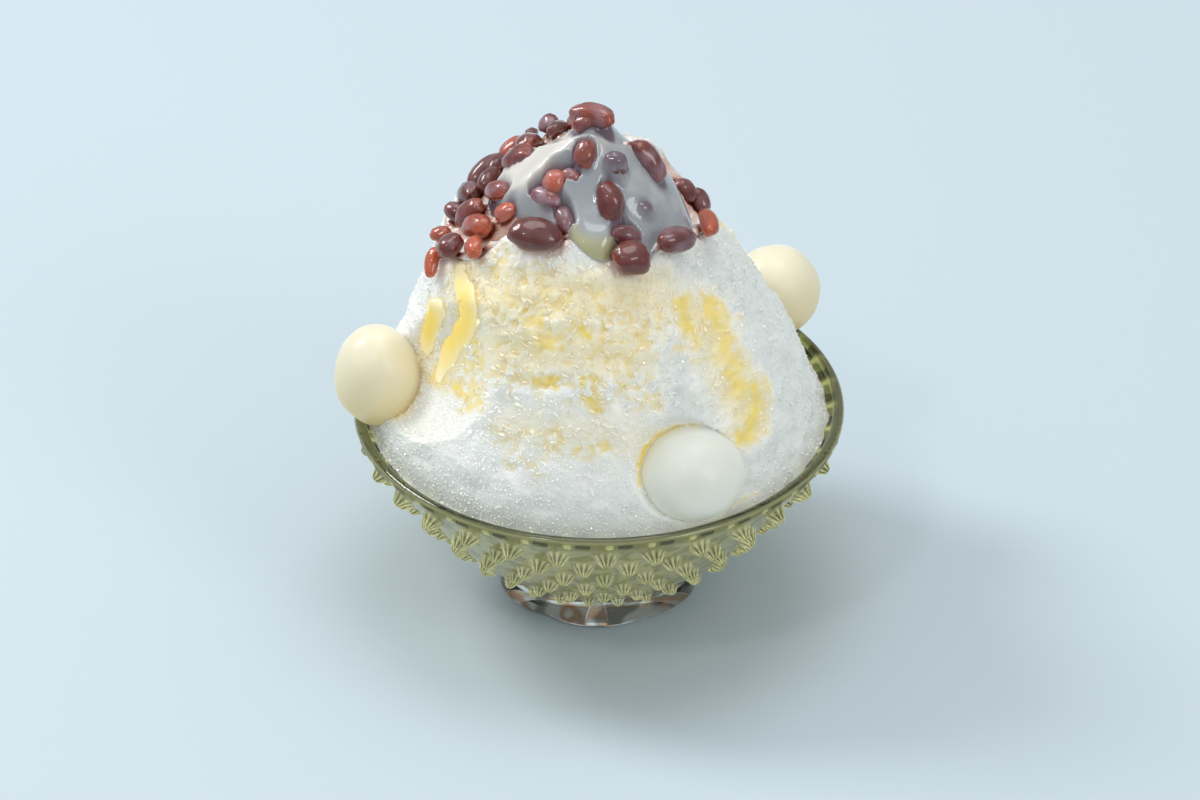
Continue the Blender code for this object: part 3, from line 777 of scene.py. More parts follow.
@dataclass(frozen=True)
class CondensedMilk:
    """Sweetened condensed milk, thinned by melting ice.

    To the eye it is a smooth glossy cream, blue-grey where it lies thin in the shade,
    lilac where beans lie just under it and pale yellow where it pools. The default colours
    are darker and greyer, with painted shade in them, for the sheet on the summit. The
    thick runs get colours of their own.
    """

    name: str = "condensed_milk"
    grey: str = "#A4A8AC"
    cream: str = "#E6E1D8"
    lilac: str = "#6F5A69"
    yellow: str = "#BDBA88"
    scatter: float = 0.6
    # painted glow: emission that stands in for light passing through a thick run from behind
    painted_glow: float = 0.0
    cloud: float = 11 * MM

    def material(self) -> Material:
        """Makes the material."""
        paint = Paint(self.name)
        cloud = paint.add("TexNoise", {"Vector": paint.place, "Scale": 1 / self.cloud})
        # on the sheet, the tone value holds the painted highlight of the creamy streak
        fold = paint.add("Math", {
            0: cloud, 1: 0.95, 2: Value.TONE}, operation="MULTIPLY_ADD", use_clamp=True)
        body = paint.add("ValToRGB", {"Fac": fold}, stops=((0.45, self.grey), (0.95, self.cream)))
        colour = paint.layered(body, (Value.SOAKED, self.yellow), (Value.VEIL, self.lilac))
        return paint.dressed({
            "Base Color": colour, "Roughness": 0.16, "IOR": 1.45,
            "Subsurface Weight": self.scatter, "Subsurface Radius": (1.0, 0.9, 0.7),
            "Subsurface Scale": 1.5 * MM, "Coat Weight": 0.7, "Coat Roughness": 0.05,
            # painted glow
            "Emission Color": colour, "Emission Strength": self.painted_glow,
        })


@dataclass(frozen=True)
class BoiledRiceDough:
    """Glutinous rice dough, rolled by hand and boiled.

    To the eye it is an even ivory with a moist, silky sheen, warmer on the underside where
    milk has run against it.
    """

    name: str
    top: str
    under: str
    # heights of the dumplings' undersides and tops
    low: float
    high: float
    # painted glow: emission that stands in for light passing through the dough, which softens its
    # shading
    painted_glow: float = 0.2
    dimple: float = 5 * MM

    def material(self) -> Material:
        """Makes the material."""
        paint = Paint(self.name)
        height = paint.add("SeparateXYZ", {0: paint.place}, output="Z")
        share = paint.add("MapRange", {"Value": height, "From Min": self.low, "From Max": self.high})
        colour = paint.add("ValToRGB", {"Fac": share}, stops=((0.1, self.under), (0.75, self.top)))
        dimples = paint.add("TexNoise", {"Vector": paint.place, "Scale": 1 / self.dimple})
        return paint.dressed({
            "Base Color": colour, "Roughness": 0.40, "IOR": 1.42,
            "Subsurface Weight": 1.0, "Subsurface Radius": (1.0, 0.9, 0.7),
            "Subsurface Scale": 9.0 * MM, "Coat Weight": 0.15, "Coat Roughness": 0.15,
            "Normal": paint.add("Bump", {
                "Height": dimples, "Distance": 0.15 * MM, "Strength": 0.35}),
            # painted glow
            "Emission Color": colour, "Emission Strength": self.painted_glow,
        })


# ---- the glass bowl
@dataclass(frozen=True)
class GlassBowl:
    """The footed bowl: a lathe with staggered hobnails on its outside."""

    rim_radius: float = 0.0619
    rim_height: float = 0.0510
    glass: float = 0.0030
    wall: Curve = Curve(((0.0098, 0.0285), (0.0185, 0.0380), (0.0260, 0.0445),
                         (0.0370, 0.0530), (0.0480, 0.0608)))
    floor_height: float = 0.0122
    floor_radius: float = 0.0120
    foot_lobes: int = 6
    foot_lobe_depth: float = 0.0016
    foot_turn: float = math.radians(-1.5)
    # height, radius and share of the lobes' depth of the foot, going up
    foot_rings: tuple[tuple[float, float, float], ...] = (
        (0.0000, 0.0246, 1.0), (0.0004, 0.0255, 1.0), (0.0011, 0.0260, 1.0),
        (0.0026, 0.0258, 0.95), (0.0045, 0.0254, 0.80), (0.0063, 0.0251, 0.55),
        (0.0078, 0.0252, 0.25), (0.0088, 0.0262, 0.08))
    sides: int = 240
    wall_rings: int = 44
    bead_steps: int = 12
    bead_span: Pair = (math.radians(-25), math.radians(200))
    inside_rings: int = 26
    knobs_around: int = 30
    knob_turn: float = math.radians(1.9)
    knob_heights: tuple[float, ...] = (0.0435, 0.0377, 0.0312, 0.0250, 0.0195, 0.0149)
    knob_radius: Pair = (0.0020, 0.0031)
    knob_reach: float = 1.02
    knob_sink: float = 0.20
    knob_flutes: int = 9
    knob_flute_depth: float = 0.26
    knob_crease: float = math.radians(24)
    # share of the reach and of the radius, from the sunk base to near the tip
    knob_outline: tuple[Pair, ...] = (
        (-0.20, 1.00), (0.0, 1.00), (0.12, 0.93), (0.42, 0.72), (0.74, 0.50), (0.94, 0.28))

    @property
    def wall_span(self) -> Pair:
        """Heights of the wall's foot and top."""
        return self.wall.points[0][0], self.wall.points[-1][0]

    def lean(self, height: Array | float) -> Array:
        """How much the wall's radius grows for each metre of height."""
        step = 0.2 * MM
        return (self.wall.at(height + step) - self.wall.at(height - step)) / (2 * step)

    def wall_point(self, turn: Array, height: Array, proud: float) -> Array:
        """Places on the outside of the wall, or proud of it, square to the wall.

        Args:
            turn: Directions.
            height: Heights on the outside of the wall.
            proud: How far out of the wall, or into it if below 0.

        Returns:
            The places.
        """
        lean = self.lean(height)
        slant = np.hypot(1.0, lean)
        return polar(self.wall.at(height) + proud / slant, turn, height - proud * lean / slant)

    def lathe(self) -> Object:
        """Makes the plain bowl, without its hobnails."""
        turns = self.foot_turn + circle(self.sides)
        low, high = self.wall_span
        rings = []
        for height, radius, share in self.foot_rings:
            lobe = np.abs(np.cos(0.5 * self.foot_lobes * (turns - self.foot_turn)))
            rings.append(polar(radius - share * self.foot_lobe_depth * (1 - lobe), turns, height))
        for height in np.linspace(low, high, self.wall_rings):
            rings.append(self.wall_point(turns, height, 0.0))
        bead = self.glass / 2
        for angle in np.linspace(*self.bead_span, self.bead_steps):
            radius = self.rim_radius - bead + bead * math.cos(angle)
            rings.append(polar(radius, turns, self.rim_height - bead + bead * math.sin(angle)))
        for height in np.linspace(high - 1.2 * MM, low, self.inside_rings):
            rings.append(self.wall_point(turns, height, -self.glass))
        rings.append(polar(self.floor_radius, turns, self.floor_height))
        middle = np.array((0.0, 0.0, self.floor_height))
        return Skin().add(np.array(rings), np.zeros(3), middle).build("bowl_lathe")

    def hobnail(self) -> Object:
        """Makes one hobnail of radius 1, standing up, with flutes to its blunt tip."""
        angles = circle(2 * self.knob_flutes)
        rings = []
        for level, width in self.knob_outline:
            depth = self.knob_flute_depth * min(max(level * 3, 0.0), 1.0)
            radius = width * (1 - depth * (0.5 - 0.5 * np.cos(self.knob_flutes * angles)))
            rings.append(np.stack((radius * np.cos(angles), radius * np.sin(angles),
                                   np.full_like(angles, level * self.knob_reach)), axis=-1))
        top = np.array((0, 0, self.knob_reach))
        return Skin().add(np.array(rings), -self.knob_sink * top, top).build("hobnail")

    def knob_places(self) -> tuple[Array, Array, Array]:
        """Each hobnail's place, the way that it faces and its radius."""
        places, ways, sizes = [], [], []
        low, high = self.knob_heights[-1], self.knob_heights[0]
        for row, height in enumerate(self.knob_heights):
            turns = self.knob_turn + 2 * np.pi * (np.arange(self.knobs_around)
                                                  + 0.5 * (row % 2)) / self.knobs_around
            here = self.wall_point(turns, height, 0.0)
            places.append(here)
            ways.append(unit(self.wall_point(turns, height, 1 * MM) - here))
            share = (height - low) / (high - low)
            size = self.knob_radius[0] + share * (self.knob_radius[1] - self.knob_radius[0])
            sizes.append(np.full(self.knobs_around, size))
        return np.concatenate(places), np.concatenate(ways), np.concatenate(sizes)

    def knob_spots(self) -> Object:
        """Makes one point a hobnail, with the way that it faces and its radius."""
        places, ways, sizes = self.knob_places()
        mesh = bpy.data.meshes.new("knob_spots")
        mesh.from_pydata(places.tolist(), [], [])
        note(mesh, Value.OUTWARD, ways)
        note(mesh, Value.SIZE, sizes)
        return show("knob_spots", mesh)

    def note_painted_flute_shade(self, mesh: Mesh) -> None:
        """Notes on the bowl where the hobnails get painted shade, in the flutes, and painted glints, on
        their ridges.

        Args:
            mesh: The bowl with its hobnails.
        """
        at = np.empty(3 * len(mesh.vertices), np.float32)
        mesh.vertices.foreach_get("co", at)
        at = at.reshape(-1, 3).astype(float)
        places, ways, sizes = self.knob_places()
        near = np.argmin(((at[:, None] - places[None]) ** 2).sum(axis=-1), axis=1)
        offset = (at - places[near]) / sizes[near, None]
        level = (offset * ways[near]).sum(axis=-1)
        side = np.linalg.norm(offset - level[:, None] * ways[near], axis=-1)
        outline = np.array(self.knob_outline)
        width = np.interp(level / self.knob_reach, outline[:, 0], outline[:, 1])
        in_flute = np.clip(1.6 * (1 - side / width) / self.knob_flute_depth, 0.0, 1.0)
        on_knob = (side < 1.02) & (level > 0.05) & (level < 0.95 * self.knob_reach)
        for value, found in ((Value.PAINTED_GROOVE_SHADE, in_flute), (Value.RIDGE_GLINT, 1 - 2 * in_flute)):
            note(mesh, value, np.where(on_knob, np.clip(found, 0.0, 1.0), 0.0))

    def build(self, finish: PressedSodaLimeGlass) -> None:
        """Makes the bowl: hobnails set on their spots and fused with the lathe.

        Args:
            finish: The glass.
        """
        lathe, hobnail, spots = self.lathe(), self.hobnail(), self.knob_spots()
        grow = GrowingTree("hobnail_rows", {
            "Spots": ("Object", spots), "Hobnail": ("Object", hobnail),
            "Glass": ("Material", finish.material())})
        points, knob = (grow.add("GeometryNodeObjectInfo", {"Object": grow.entry[label]},
                                 output="Geometry") for label in ("Spots", "Hobnail"))
        way, size = (grow.add("GeometryNodeInputNamedAttribute", {"Name": value.value},
                              data_type=kind)
                     for kind, value in (("FLOAT_VECTOR", Value.OUTWARD), ("FLOAT", Value.SIZE)))
        aim = grow.add("FunctionNodeAlignRotationToVector", {"Vector": way}, axis="Z")
        knobs = grow.add("GeometryNodeInstanceOnPoints", {
            "Points": points, "Instance": knob, "Rotation": aim, "Scale": size})
        real = grow.add("GeometryNodeRealizeInstances", {"Geometry": knobs})
        fused = grow.add("GeometryNodeMeshBoolean", {"Mesh 2": grow.entry["Geometry"]},
                         operation="UNION", solver="MANIFOLD")
        grow.fill(fused.node, {"Mesh 2": real})
        glazed = grow.add("GeometryNodeSetMaterial", {
            "Geometry": fused, "Material": grow.entry["Glass"]})
        bowl = grow.grow(lathe, "hobnail_bowl", glazed)
        bowl.data.shade_smooth()
        bowl.data.set_sharp_from_angle(angle=self.knob_crease)
        self.note_painted_flute_shade(bowl.data)
        drop(lathe, hobnail, spots)
        keep_piece(bowl, Slot.GLASS, "glass_bowl")


# ---- the heap's form
@dataclass(frozen=True)
class Sight:
    """How the viewer sees the heap: a camera tilted down at it from the front.

    Attributes:
        tilt: How far the camera looks down.
        middle: Pixel of the bowl's axis at height 0, in a frame of 1200 x 800.
        scale: Pixels a metre at the bowl.
        distance: From the camera to the bowl.
        aim: The point that it looks at.
        lens: Focal length in mm, on a sensor 36 mm wide.
    """

    tilt: float = math.radians(34.0)
    middle: Pair = (601.0, 572.0)
    scale: float = 3965.0
    distance: float = 8.0
    aim: tuple[float, float, float] = (0.0003, 0.0, 0.0523)
    lens: float = 951.4

    def seen(self, pixels: Array | Pixels) -> Array:
        """Across and up, in metres, of pixels in the frame of 1200 x 800."""
        return (np.array(pixels, float) - self.middle) * (1, -1) / self.scale

    def projected(self, places: Array) -> Array:
        """Across and up, in metres, of places."""
        up = places[..., 2] * math.cos(self.tilt) + places[..., 1] * math.sin(self.tilt)
        return np.stack((places[..., 0], up), axis=-1)

    def off_line(self, places: Array, pixels: Pixels) -> Array:
        """How far places appear from a line through pixels, in metres."""
        return distance_to_line(self.projected(places), self.seen(pixels))

    @property
    def upward(self) -> Array:
        """The direction that is up in the picture."""
        return np.array((0.0, math.sin(self.tilt), math.cos(self.tilt)))

    @property
    def viewer(self) -> Array:
        """The direction towards the viewer."""
        return np.array((0.0, -math.cos(self.tilt), math.sin(self.tilt)))


@dataclass(frozen=True)
class Heap:
    """The mound's form: what the ice, beans and milk all follow."""

    sight: Sight = Sight()
    # height of the whole heap, beans included, by radius: on the left and on the right
    left: Curve = Curve(((-0.008, 0.1365), (0.0, 0.1420), (0.008, 0.1365), (0.016, 0.1307),
                         (0.024, 0.1240), (0.032, 0.1144), (0.040, 0.1035), (0.048, 0.0775),
                         (0.056, 0.0560), (0.057, 0.0489)))
    right: Curve = Curve(((-0.008, 0.1340), (0.0, 0.1420), (0.008, 0.1340), (0.016, 0.1245),
                          (0.024, 0.1130), (0.032, 0.0995), (0.040, 0.0868), (0.048, 0.0730),
                          (0.056, 0.0525), (0.057, 0.0489)))
    edge_radius: float = 0.0570
    edge_fade: float = 0.004
    bean_layer: float = 0.0076
    bean_layer_fade: float = 0.0100
    steep_side: float = 0.40
    steep_radius: float = 0.022
    relief: float = 0.0016
    relief_size: float = 0.011
    flutes_share: float = 1.2
    flute_width: float = 0.009
    flute_height: float = 0.040
    flute_shift: tuple[float, float, float] = (7.0, 3.0, 1.0)
    # how far the beans reach from the axis, by degrees from the front to the right
    beans_reach: Curve = Curve(((0, 0.0274), (16, 0.0296), (36, 0.0274), (55, 0.0275),
                                (85, 0.0300), (108, 0.0320), (125, 0.0270), (145, 0.0200),
                                (180, 0.0195), (215, 0.0280), (240, 0.0365), (262, 0.0430),
                                (280, 0.0432), (296, 0.0389), (308, 0.0330), (327, 0.0300),
                                (345, 0.0268)), 360.0)
    slope_step: float = 0.0015
    sight_depth: float = 0.080
    sight_steps: int = 400

    def reach(self, turn: Array | float) -> Array:
        """How far the beans reach from the axis."""
        return self.beans_reach.at(np.degrees(turn))

    def outside(self, radius: Array, turn: Array) -> Array:
        """Height of the heap's outside, beans included."""
        to_right = 0.5 + 0.5 * np.sin(turn)
        return self.left.at(radius) * (1 - to_right) + self.right.at(radius) * to_right

    def slant(self, radius: Array | float) -> Array:
        """How much longer a layer measures upright than square to the heap's side."""
        return 1.0 + self.steep_side * smooth(np.asarray(radius) / self.steep_radius)

    def ice(self, radius: Array | float, turn: Array | float) -> Array:
        """Height of the ice: the heap less the layer of beans, with its soft lumps and flutes.

        Args:
            radius: Radii on the heap.
            turn: Directions.

        Returns:
            The heights.
        """
        radius, turn = np.broadcast_arrays(np.asarray(radius, float), np.asarray(turn, float))
        under = smooth((self.reach(turn) - radius) / self.bean_layer_fade)
        top = self.outside(radius, turn)
        bare = (1 - under) * smooth((self.edge_radius - radius) / self.edge_fade)
        place = polar(radius, turn, top)
        stretch = np.array((self.flute_width, self.flute_width, self.flute_height))
        fluted = lumps(place / stretch + np.array(self.flute_shift), 1.0)
        soft = lumps(place, self.relief_size) + self.flutes_share * fluted
        return top - self.bean_layer * self.slant(radius) * under + self.relief * bare * soft

    def point(self, radius: Array | float, turn: Array | float) -> Array:
        """Places on the ice."""
        return polar(radius, turn, self.ice(radius, turn))

    def normal(self, radius: Array | float, turn: Array | float) -> Array:
        """Directions square to the ice, from small steps either way.

        Args:
            radius: Radii on the heap.
            turn: Directions.

        Returns:
            The directions, at length 1.
        """
        step = self.slope_step
        spot = polar(np.asarray(radius, float), np.asarray(turn, float), 0.0)
        x, y = spot[..., 0], spot[..., 1]

        def height_at(u: Array, v: Array) -> Array:
            """Height of the ice over a point of the floor."""
            return self.ice(np.hypot(u, v), np.arctan2(u, -v))

        dx = (height_at(x + step, y) - height_at(x - step, y)) / (2 * step)
        dy = (height_at(x, y + step) - height_at(x, y - step)) / (2 * step)
        return unit(np.stack((-dx, -dy, np.ones_like(dx)), axis=-1))

    def spot(self, across: float, up: float) -> Pair:
        """Finds a point of the ice from where the viewer sees it.

        Args:
            across: To the viewer's right, in metres.
            up: Up the picture, in metres.

        Returns:
            Its radius and turn.
        """
        y = -self.edge_radius + self.sight_depth * np.arange(self.sight_steps) / self.sight_steps
        y = y[np.hypot(across, y) <= self.edge_radius]
        radius, turn = np.hypot(across, y), np.arctan2(across, -y)
        height = self.ice(radius, turn)
        gap = up - (height * math.cos(self.sight.tilt) + y * math.sin(self.sight.tilt))
        below = np.nonzero(gap <= 0.0)[0]
        pick = below[0] if len(below) else int(np.argmin(gap))
        return float(radius[pick]), float(turn[pick])


# ---- milk soaked into the ice
class Soak(Enum):
    """How milk shows in the ice."""

    WASH = "a soft even stain"
    FLECKS = "broken up between the grains"
    RUN = "a smooth stream"


@dataclass(frozen=True)
class MilkPath:
    """A stream of milk in the ice, by the pixels that it passes in the frame of 1200 x 800.

    Attributes:
        kind: How it shows.
        width: Half its width, in mm.
        strength: How yellow it is, from 0 to 1.
        pixels: Where it passes.
    """

    kind: Soak
    width: float
    strength: float
    pixels: Pixels


MILK_PATHS: tuple[MilkPath, ...] = tuple(MilkPath(kind, *row) for kind, rows in (
    (Soak.WASH, (
        (13.0, 0.38, ((480, 295), (560, 300), (640, 300))),
        (13.0, 0.36, ((500, 345), (625, 350))),
        (10.0, 0.30, ((655, 285), (705, 330), (738, 400))),
        (7.5, 0.48, ((690, 310), (722, 345), (748, 400), (750, 425))),
        (11.0, 0.20, ((520, 425), (640, 440))),
    )),
    (Soak.FLECKS, (
        (13.0, 0.58, ((500, 295), (560, 320), (625, 325))),
        (9.0, 0.55, ((480, 350), (560, 365), (620, 370))),
        (3.5, 0.68, ((527, 303), (543, 320))),
        (2.4, 0.70, ((571, 296), (571, 311))),
        (3.0, 0.65, ((597, 305), (618, 313))),
        (2.4, 0.75, ((585, 326), (594, 338))),
        (3.2, 0.68, ((540, 341), (565, 350))),
        (4.0, 0.74, ((543, 376), (575, 382), (590, 380))),
        (2.6, 0.70, ((588, 390), (602, 408))),
        (3.0, 0.80, ((478, 348), (494, 360))),
        (2.6, 0.78, ((457, 388), (468, 404))),
        (3.2, 0.65, ((472, 362), (480, 402))),
        (4.0, 0.42, ((505, 432), (560, 442))),
        (3.5, 0.55, ((560, 436), (590, 447))),
        (2.6, 0.60, ((606, 446), (620, 452))),
        (4.0, 0.35, ((520, 458), (545, 463))),
        (5.0, 0.40, ((625, 345), (650, 400))),
    )),
    (Soak.RUN, (
        (3.0, 0.72, ((684, 304), (685, 322), (699, 340))),
        (3.7, 0.78, ((714, 304), (720, 326))),
        (4.2, 0.70, ((722, 326), (727, 350), (738, 370))),
        (4.6, 0.70, ((732, 372), (745, 395))),
        (4.2, 0.74, ((756, 388), (758, 410), (752, 430), (742, 436))),
        (1.1, 0.50, ((661, 314), (661, 328))),
        (1.1, 0.45, ((676, 348), (687, 349))),
        (1.2, 0.42, ((694, 361), (709, 358))),
        (3.8, 0.70, ((465, 272), (468, 300), (470, 325), (456, 345), (444, 378))),
        (3.0, 0.66, ((441, 306), (434, 330), (430, 352))),
        (3.0, 0.34, ((424, 366), (412, 392), (402, 410))),
        (0.9, 0.84, ((697, 426), (676, 428), (658, 437), (646, 450), (641, 466))),
        (0.8, 0.60, ((641, 466), (641, 486))),
        (0.8, 0.28, ((760, 492), (735, 504))),
    )),
) for row in rows)


@dataclass(frozen=True)
class SoakedMilk:
    """All the milk that shows in the ice."""

    heap: Heap
    paths: tuple[MilkPath, ...] = MILK_PATHS
    # streams behind, out of the viewer's sight: turn in degrees, radius from and to
    behind: tuple[tuple[float, float, float], ...] = (
        (118, 0.027, 0.046), (150, 0.021, 0.050), (196, 0.024, 0.041), (232, 0.034, 0.051))
    behind_width: float = 3.2 * MM
    fleck: float = 1.7 * MM
    path_steps: int = 12

    def streams_behind(self) -> list[Array]:
        """The streams behind, as places on the ice."""
        found = []
        for turn, near, far in self.behind:
            radius = np.linspace(near, far, self.path_steps)
            sway = 0.10 * np.sin(np.linspace(0.0, 4.0, self.path_steps) + turn)
            found.append(self.heap.point(radius, math.radians(turn) + sway))
        return found

    def at(self, places: Array, normals: Array, raised: Array) -> Array:
        """How much milk is in the ice.

        Args:
            places: Places, x, y, z in the last axis.
            normals: The way that the ice faces there.
            raised: How far shavings stand out there, about -1 to 1; milk gathers between them.

        Returns:
            A share for each, from 0 for bare ice to 1 for yellow milk.
        """
        facing = smooth(normals @ self.heap.sight.viewer / 0.15)
        sway = lumps(places, 3.5 * MM, 3.0) + 0.5 * lumps(places, 1.4 * MM, 9.0)
        broken = smooth(0.50 - 0.7 * raised + 0.8 * lumps(places, self.fleck, 11.0)
                        + 0.6 * lumps(places, 3 * self.fleck, 17.0))
        total = np.zeros(places.shape[:-1])
        for path in self.paths:
            off = self.heap.sight.off_line(places, path.pixels) / (path.width * MM)
            if path.kind is Soak.WASH:
                milk = path.strength * smooth(1.1 - off + 0.25 * sway)
            elif path.kind is Soak.FLECKS:
                milk = path.strength * broken * smooth((1.6 - off) / 1.3)
            else:
                milk = path.strength * smooth((1.6 - off + 0.6 * sway) / 1.7)
            total = np.maximum(total, milk)
        total = total * facing
        for line in self.streams_behind():
            off = distance_to_line(places, line) / self.behind_width
            total = np.maximum(total, 0.55 * smooth(1.3 - off + 0.35 * sway))
        return total


# ---- the mound of ice
@dataclass(frozen=True)
class IceMound:
    """The heaped ice: a granular body with loose crystals and flakes on it."""

    heap: Heap
    bowl: GlassBowl
    soaked: SoakedMilk
    beans: BVHTree
    sides: int = 420
    table_steps: int = 240
    # how much closer the points stand together at the front, where the viewer looks
    crowding: float = 0.42
    rings_under: int = 20
    rings_bare: int = 185
    rings_wall: int = 20
    # how far the ice reaches into the glass, so that no air shows between them
    into_glass: float = 0.0004
    coarse: float = 4.5 * MM
    coarse_height: float = 0.75 * MM
    shaving: float = 2.8 * MM
    shaving_height: float = 0.55 * MM
    grain: float = 1.4 * MM
    grain_height: float = 0.35 * MM
    fine: float = 0.8 * MM
    fine_height: float = 0.12 * MM
    sunk: float = 0.5 * MM
    stain_reach: float = 3.0 * MM
    wet_below: float = 0.067
    funnel: float = 1.8
    # share of a dumpling's size: where the ice meets it, and how far in front of its middle
    meets: Pair = (0.965, 0.26)
    # copies on a square metre of thick strewing, behind and in front, and their sizes
    crystals_thick: Pair = (1.6e6, 2.4e6)
    crystal_sizes: Pair = (0.4 * MM, 1.1 * MM)
    flakes_thick: Pair = (2.2e5, 2.8e5)
    flake_sizes: Pair = (0.8 * MM, 2.4 * MM)
    flake_lean: float = 0.5
    shown_whole: tuple[str, ...] = ("rice_dumpling_left", "rice_dumpling_front")

    @property
    def turns(self) -> Array:
        """Directions of the body's points."""
        even = circle(self.sides)
        return even - self.crowding * np.sin(even)

    def surface(self) -> tuple[Array, Array]:
        """Rings of the smooth top surface, evenly spaced along it, and their normals."""
        turns = self.turns
        table = np.linspace(0.0, self.heap.edge_radius, self.table_steps)
        heights = self.heap.ice(table[:, None], turns[None, :])
        steps = np.hypot(np.diff(table)[:, None], np.diff(heights, axis=0))
        walked = np.concatenate((np.zeros((1, self.sides)), np.cumsum(steps, axis=0)))
        reach = self.heap.reach(turns)
        radii = np.zeros((self.rings_under + self.rings_bare, self.sides))
        for j in range(self.sides):
            border = np.interp(reach[j], table, walked[:, j])
            marks = np.concatenate((
                np.linspace(0.0, border, self.rings_under + 1)[1:],
                np.linspace(border, walked[-1, j], self.rings_bare + 1)[1:]))
            radii[:, j] = np.interp(marks, walked[:, j], table)
        places = self.heap.point(radii, turns[None, :])
        round_it = np.roll(places, -1, axis=1) - np.roll(places, 1, axis=1)
        outwards = np.gradient(places, axis=0)
        return places, unit(np.cross(outwards, round_it))

    def with_room(self, places: Array) -> Array:
        """Pushes ice back where it would hide a dumpling that lies in front of it.

        Args:
            places: Places on the rough ice.

        Returns:
            The places, with a hollow behind and round each dumpling.
        """
        viewer = self.heap.sight.viewer
        for node in self.shown_whole:
            low, high = (np.array(corner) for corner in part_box(node))
            size = float((high - low).mean() / 2)
            offset = places - (low + high) / 2
            ahead = offset @ viewer
            aside = np.linalg.norm(offset - ahead[..., None] * viewer, axis=-1)
            inside = -np.sqrt(np.maximum(1 - (aside / size) ** 2, 0.0)) * size * 0.9
            around = self.meets[1] * size + (aside - size) * self.funnel
            limit = np.where(aside < self.meets[0] * size, inside, around)
            push = np.maximum(ahead - limit, 0.0) * smooth(3.0 - aside / size)
            places = places - (push * (aside < 3 * size))[..., None] * viewer
        return places

    def zones(self, places: Array) -> tuple[Array, Array]:
        """Where the ice is of which kind.

        Args:
            places: Places on the ice.

        Returns:
            How far it is flaky there, as over the upper left, and how far it is loose grains.
        """
        radius, turn = round_axis(places)
        bare = smooth((radius - self.heap.reach(turn) + 3 * MM) / (3 * MM))
        low = smooth((0.088 - places[..., 2]) / 0.024)
        left = 0.5 - 0.5 * np.sin(turn)
        patchy = 0.75 + 0.5 * lumps(places, 9 * MM, 21.0)
        flaky = bare * (1 - 0.9 * low) * (0.25 + 0.75 * smooth(left + 0.35)) * patchy
        return flaky, bare * (0.25 + 0.75 * low * left ** 1.5) * patchy

    def roughened(self, places: Array, normals: Array) -> tuple[Array, Array]:
        """Raises shavings and grains on the surface, fading out at the glass.

        Args:
            places: The smooth surface.
            normals: The way that it faces.

        Returns:
            The rough surface, and how far shavings stand out of it.
        """
        radius, _ = round_axis(places)
        free = smooth((self.heap.edge_radius - radius) / (1.5 * MM))
        flaky, _ = self.zones(places)
        clumps = lumps(places, self.coarse, 5.0)
        raised = chips(places + 0.8 * MM * normals, self.shaving)
        grains = granules(places, self.grain) - 0.5
        fine = lumps(places, self.fine, 2.0)
        height = (self.coarse_height * clumps + self.shaving_height * raised * flaky
                  + self.grain_height * grains * (1.2 - flaky) + self.fine_height * fine)
        rough = places + normals * ((height - self.sunk) * free)[..., None]
        return self.with_room(rough), 0.7 * raised + 0.4 * clumps

    def body(self, finish: Material) -> tuple[Object, BVHTree]:
        """Makes the body of packed ice.

        Args:
            finish: Its material.

        Returns:
            The body, and a tree to cast rays at it.
        """
        places, normals = self.surface()
        top, raised = self.roughened(places, normals)
        turns = self.turns
        low, high = self.bowl.wall_span
        depth = self.into_glass - self.bowl.glass
        edge = self.bowl.wall_point(turns, high - 1.0 * MM + 0.6 * MM * lumps(
            polar(self.heap.edge_radius, turns, 0.0), 6 * MM), depth)
        rings = [*top, edge]
        for share in np.linspace(0.90, 0.02, self.rings_wall):
            rings.append(self.bowl.wall_point(turns, low + share * (high - low), depth))
        floor = self.bowl.floor_height - self.into_glass
        rings.append(polar(self.bowl.floor_radius, turns, floor))
        rings = np.array(rings)
        values = self.values(top, normals, raised)
        below = np.zeros((len(rings) - len(top), self.sides))
        skin = Skin().add(rings, self.heap.point(0.0, 0.0), np.array((0.0, 0.0, floor)), {
            name: np.concatenate((value, below)) for name, value in values.items()})
        return skin.build("packed_ice", finish), skin.tree()

    def values(self, top: Array, normals: Array, raised: Array) -> dict[Value, Array]:
        """What the finish and the strewing need to know at each point of the top surface.

        Args:
            top: The rough surface.
            normals: The way that the smooth one faces.
            raised: How far shavings stand out of it.

        Returns:
            The values by name.
        """
        _, turn = round_axis(top)
        flaky, loose = self.zones(top)
        stain = smooth((self.stain_reach - distances(self.beans, top)) / self.stain_reach)
        low = smooth((self.wet_below - top[..., 2]) / (12 * MM))
        # greyer on the right, partly for melt and partly as painted shade on the side away from the key
        # light, and greyer low down where it melts
        wet = np.maximum(0.25 + 0.75 * smooth((np.sin(turn) + 0.3) / 0.9), low)
        soaked = self.soaked.at(top, normals, raised)
        dry = 1 - smooth((soaked - 0.45) / 0.15)
        return {Value.SOAKED: soaked, Value.LOOSE: loose * dry, Value.FLAKY: flaky * dry,
                Value.STAIN: stain, Value.WET_AND_SHADE: wet}

    def crystal(self, seed: int) -> Object:
        """Makes one crystal.

        Args:
            seed: Picks its shape.

        Returns:
            An uneven lump of size 1 with flat faces.
        """
        rng = np.random.default_rng(seed)
        angles = circle(4) + rng.uniform(-0.35, 0.35, 4)
        radius = rng.uniform(0.32, 0.55, 4)
        ring = np.stack((radius * np.cos(angles), radius * np.sin(angles),
                         rng.uniform(-0.15, 0.15, 4)), axis=-1)
        made = Skin().add(ring[None], np.array((0.1, 0.0, -0.45)),
                          np.array((-0.1, 0.08, 0.45))).build("crystal_%d" % seed)
        made.data.shade_flat()
        return made

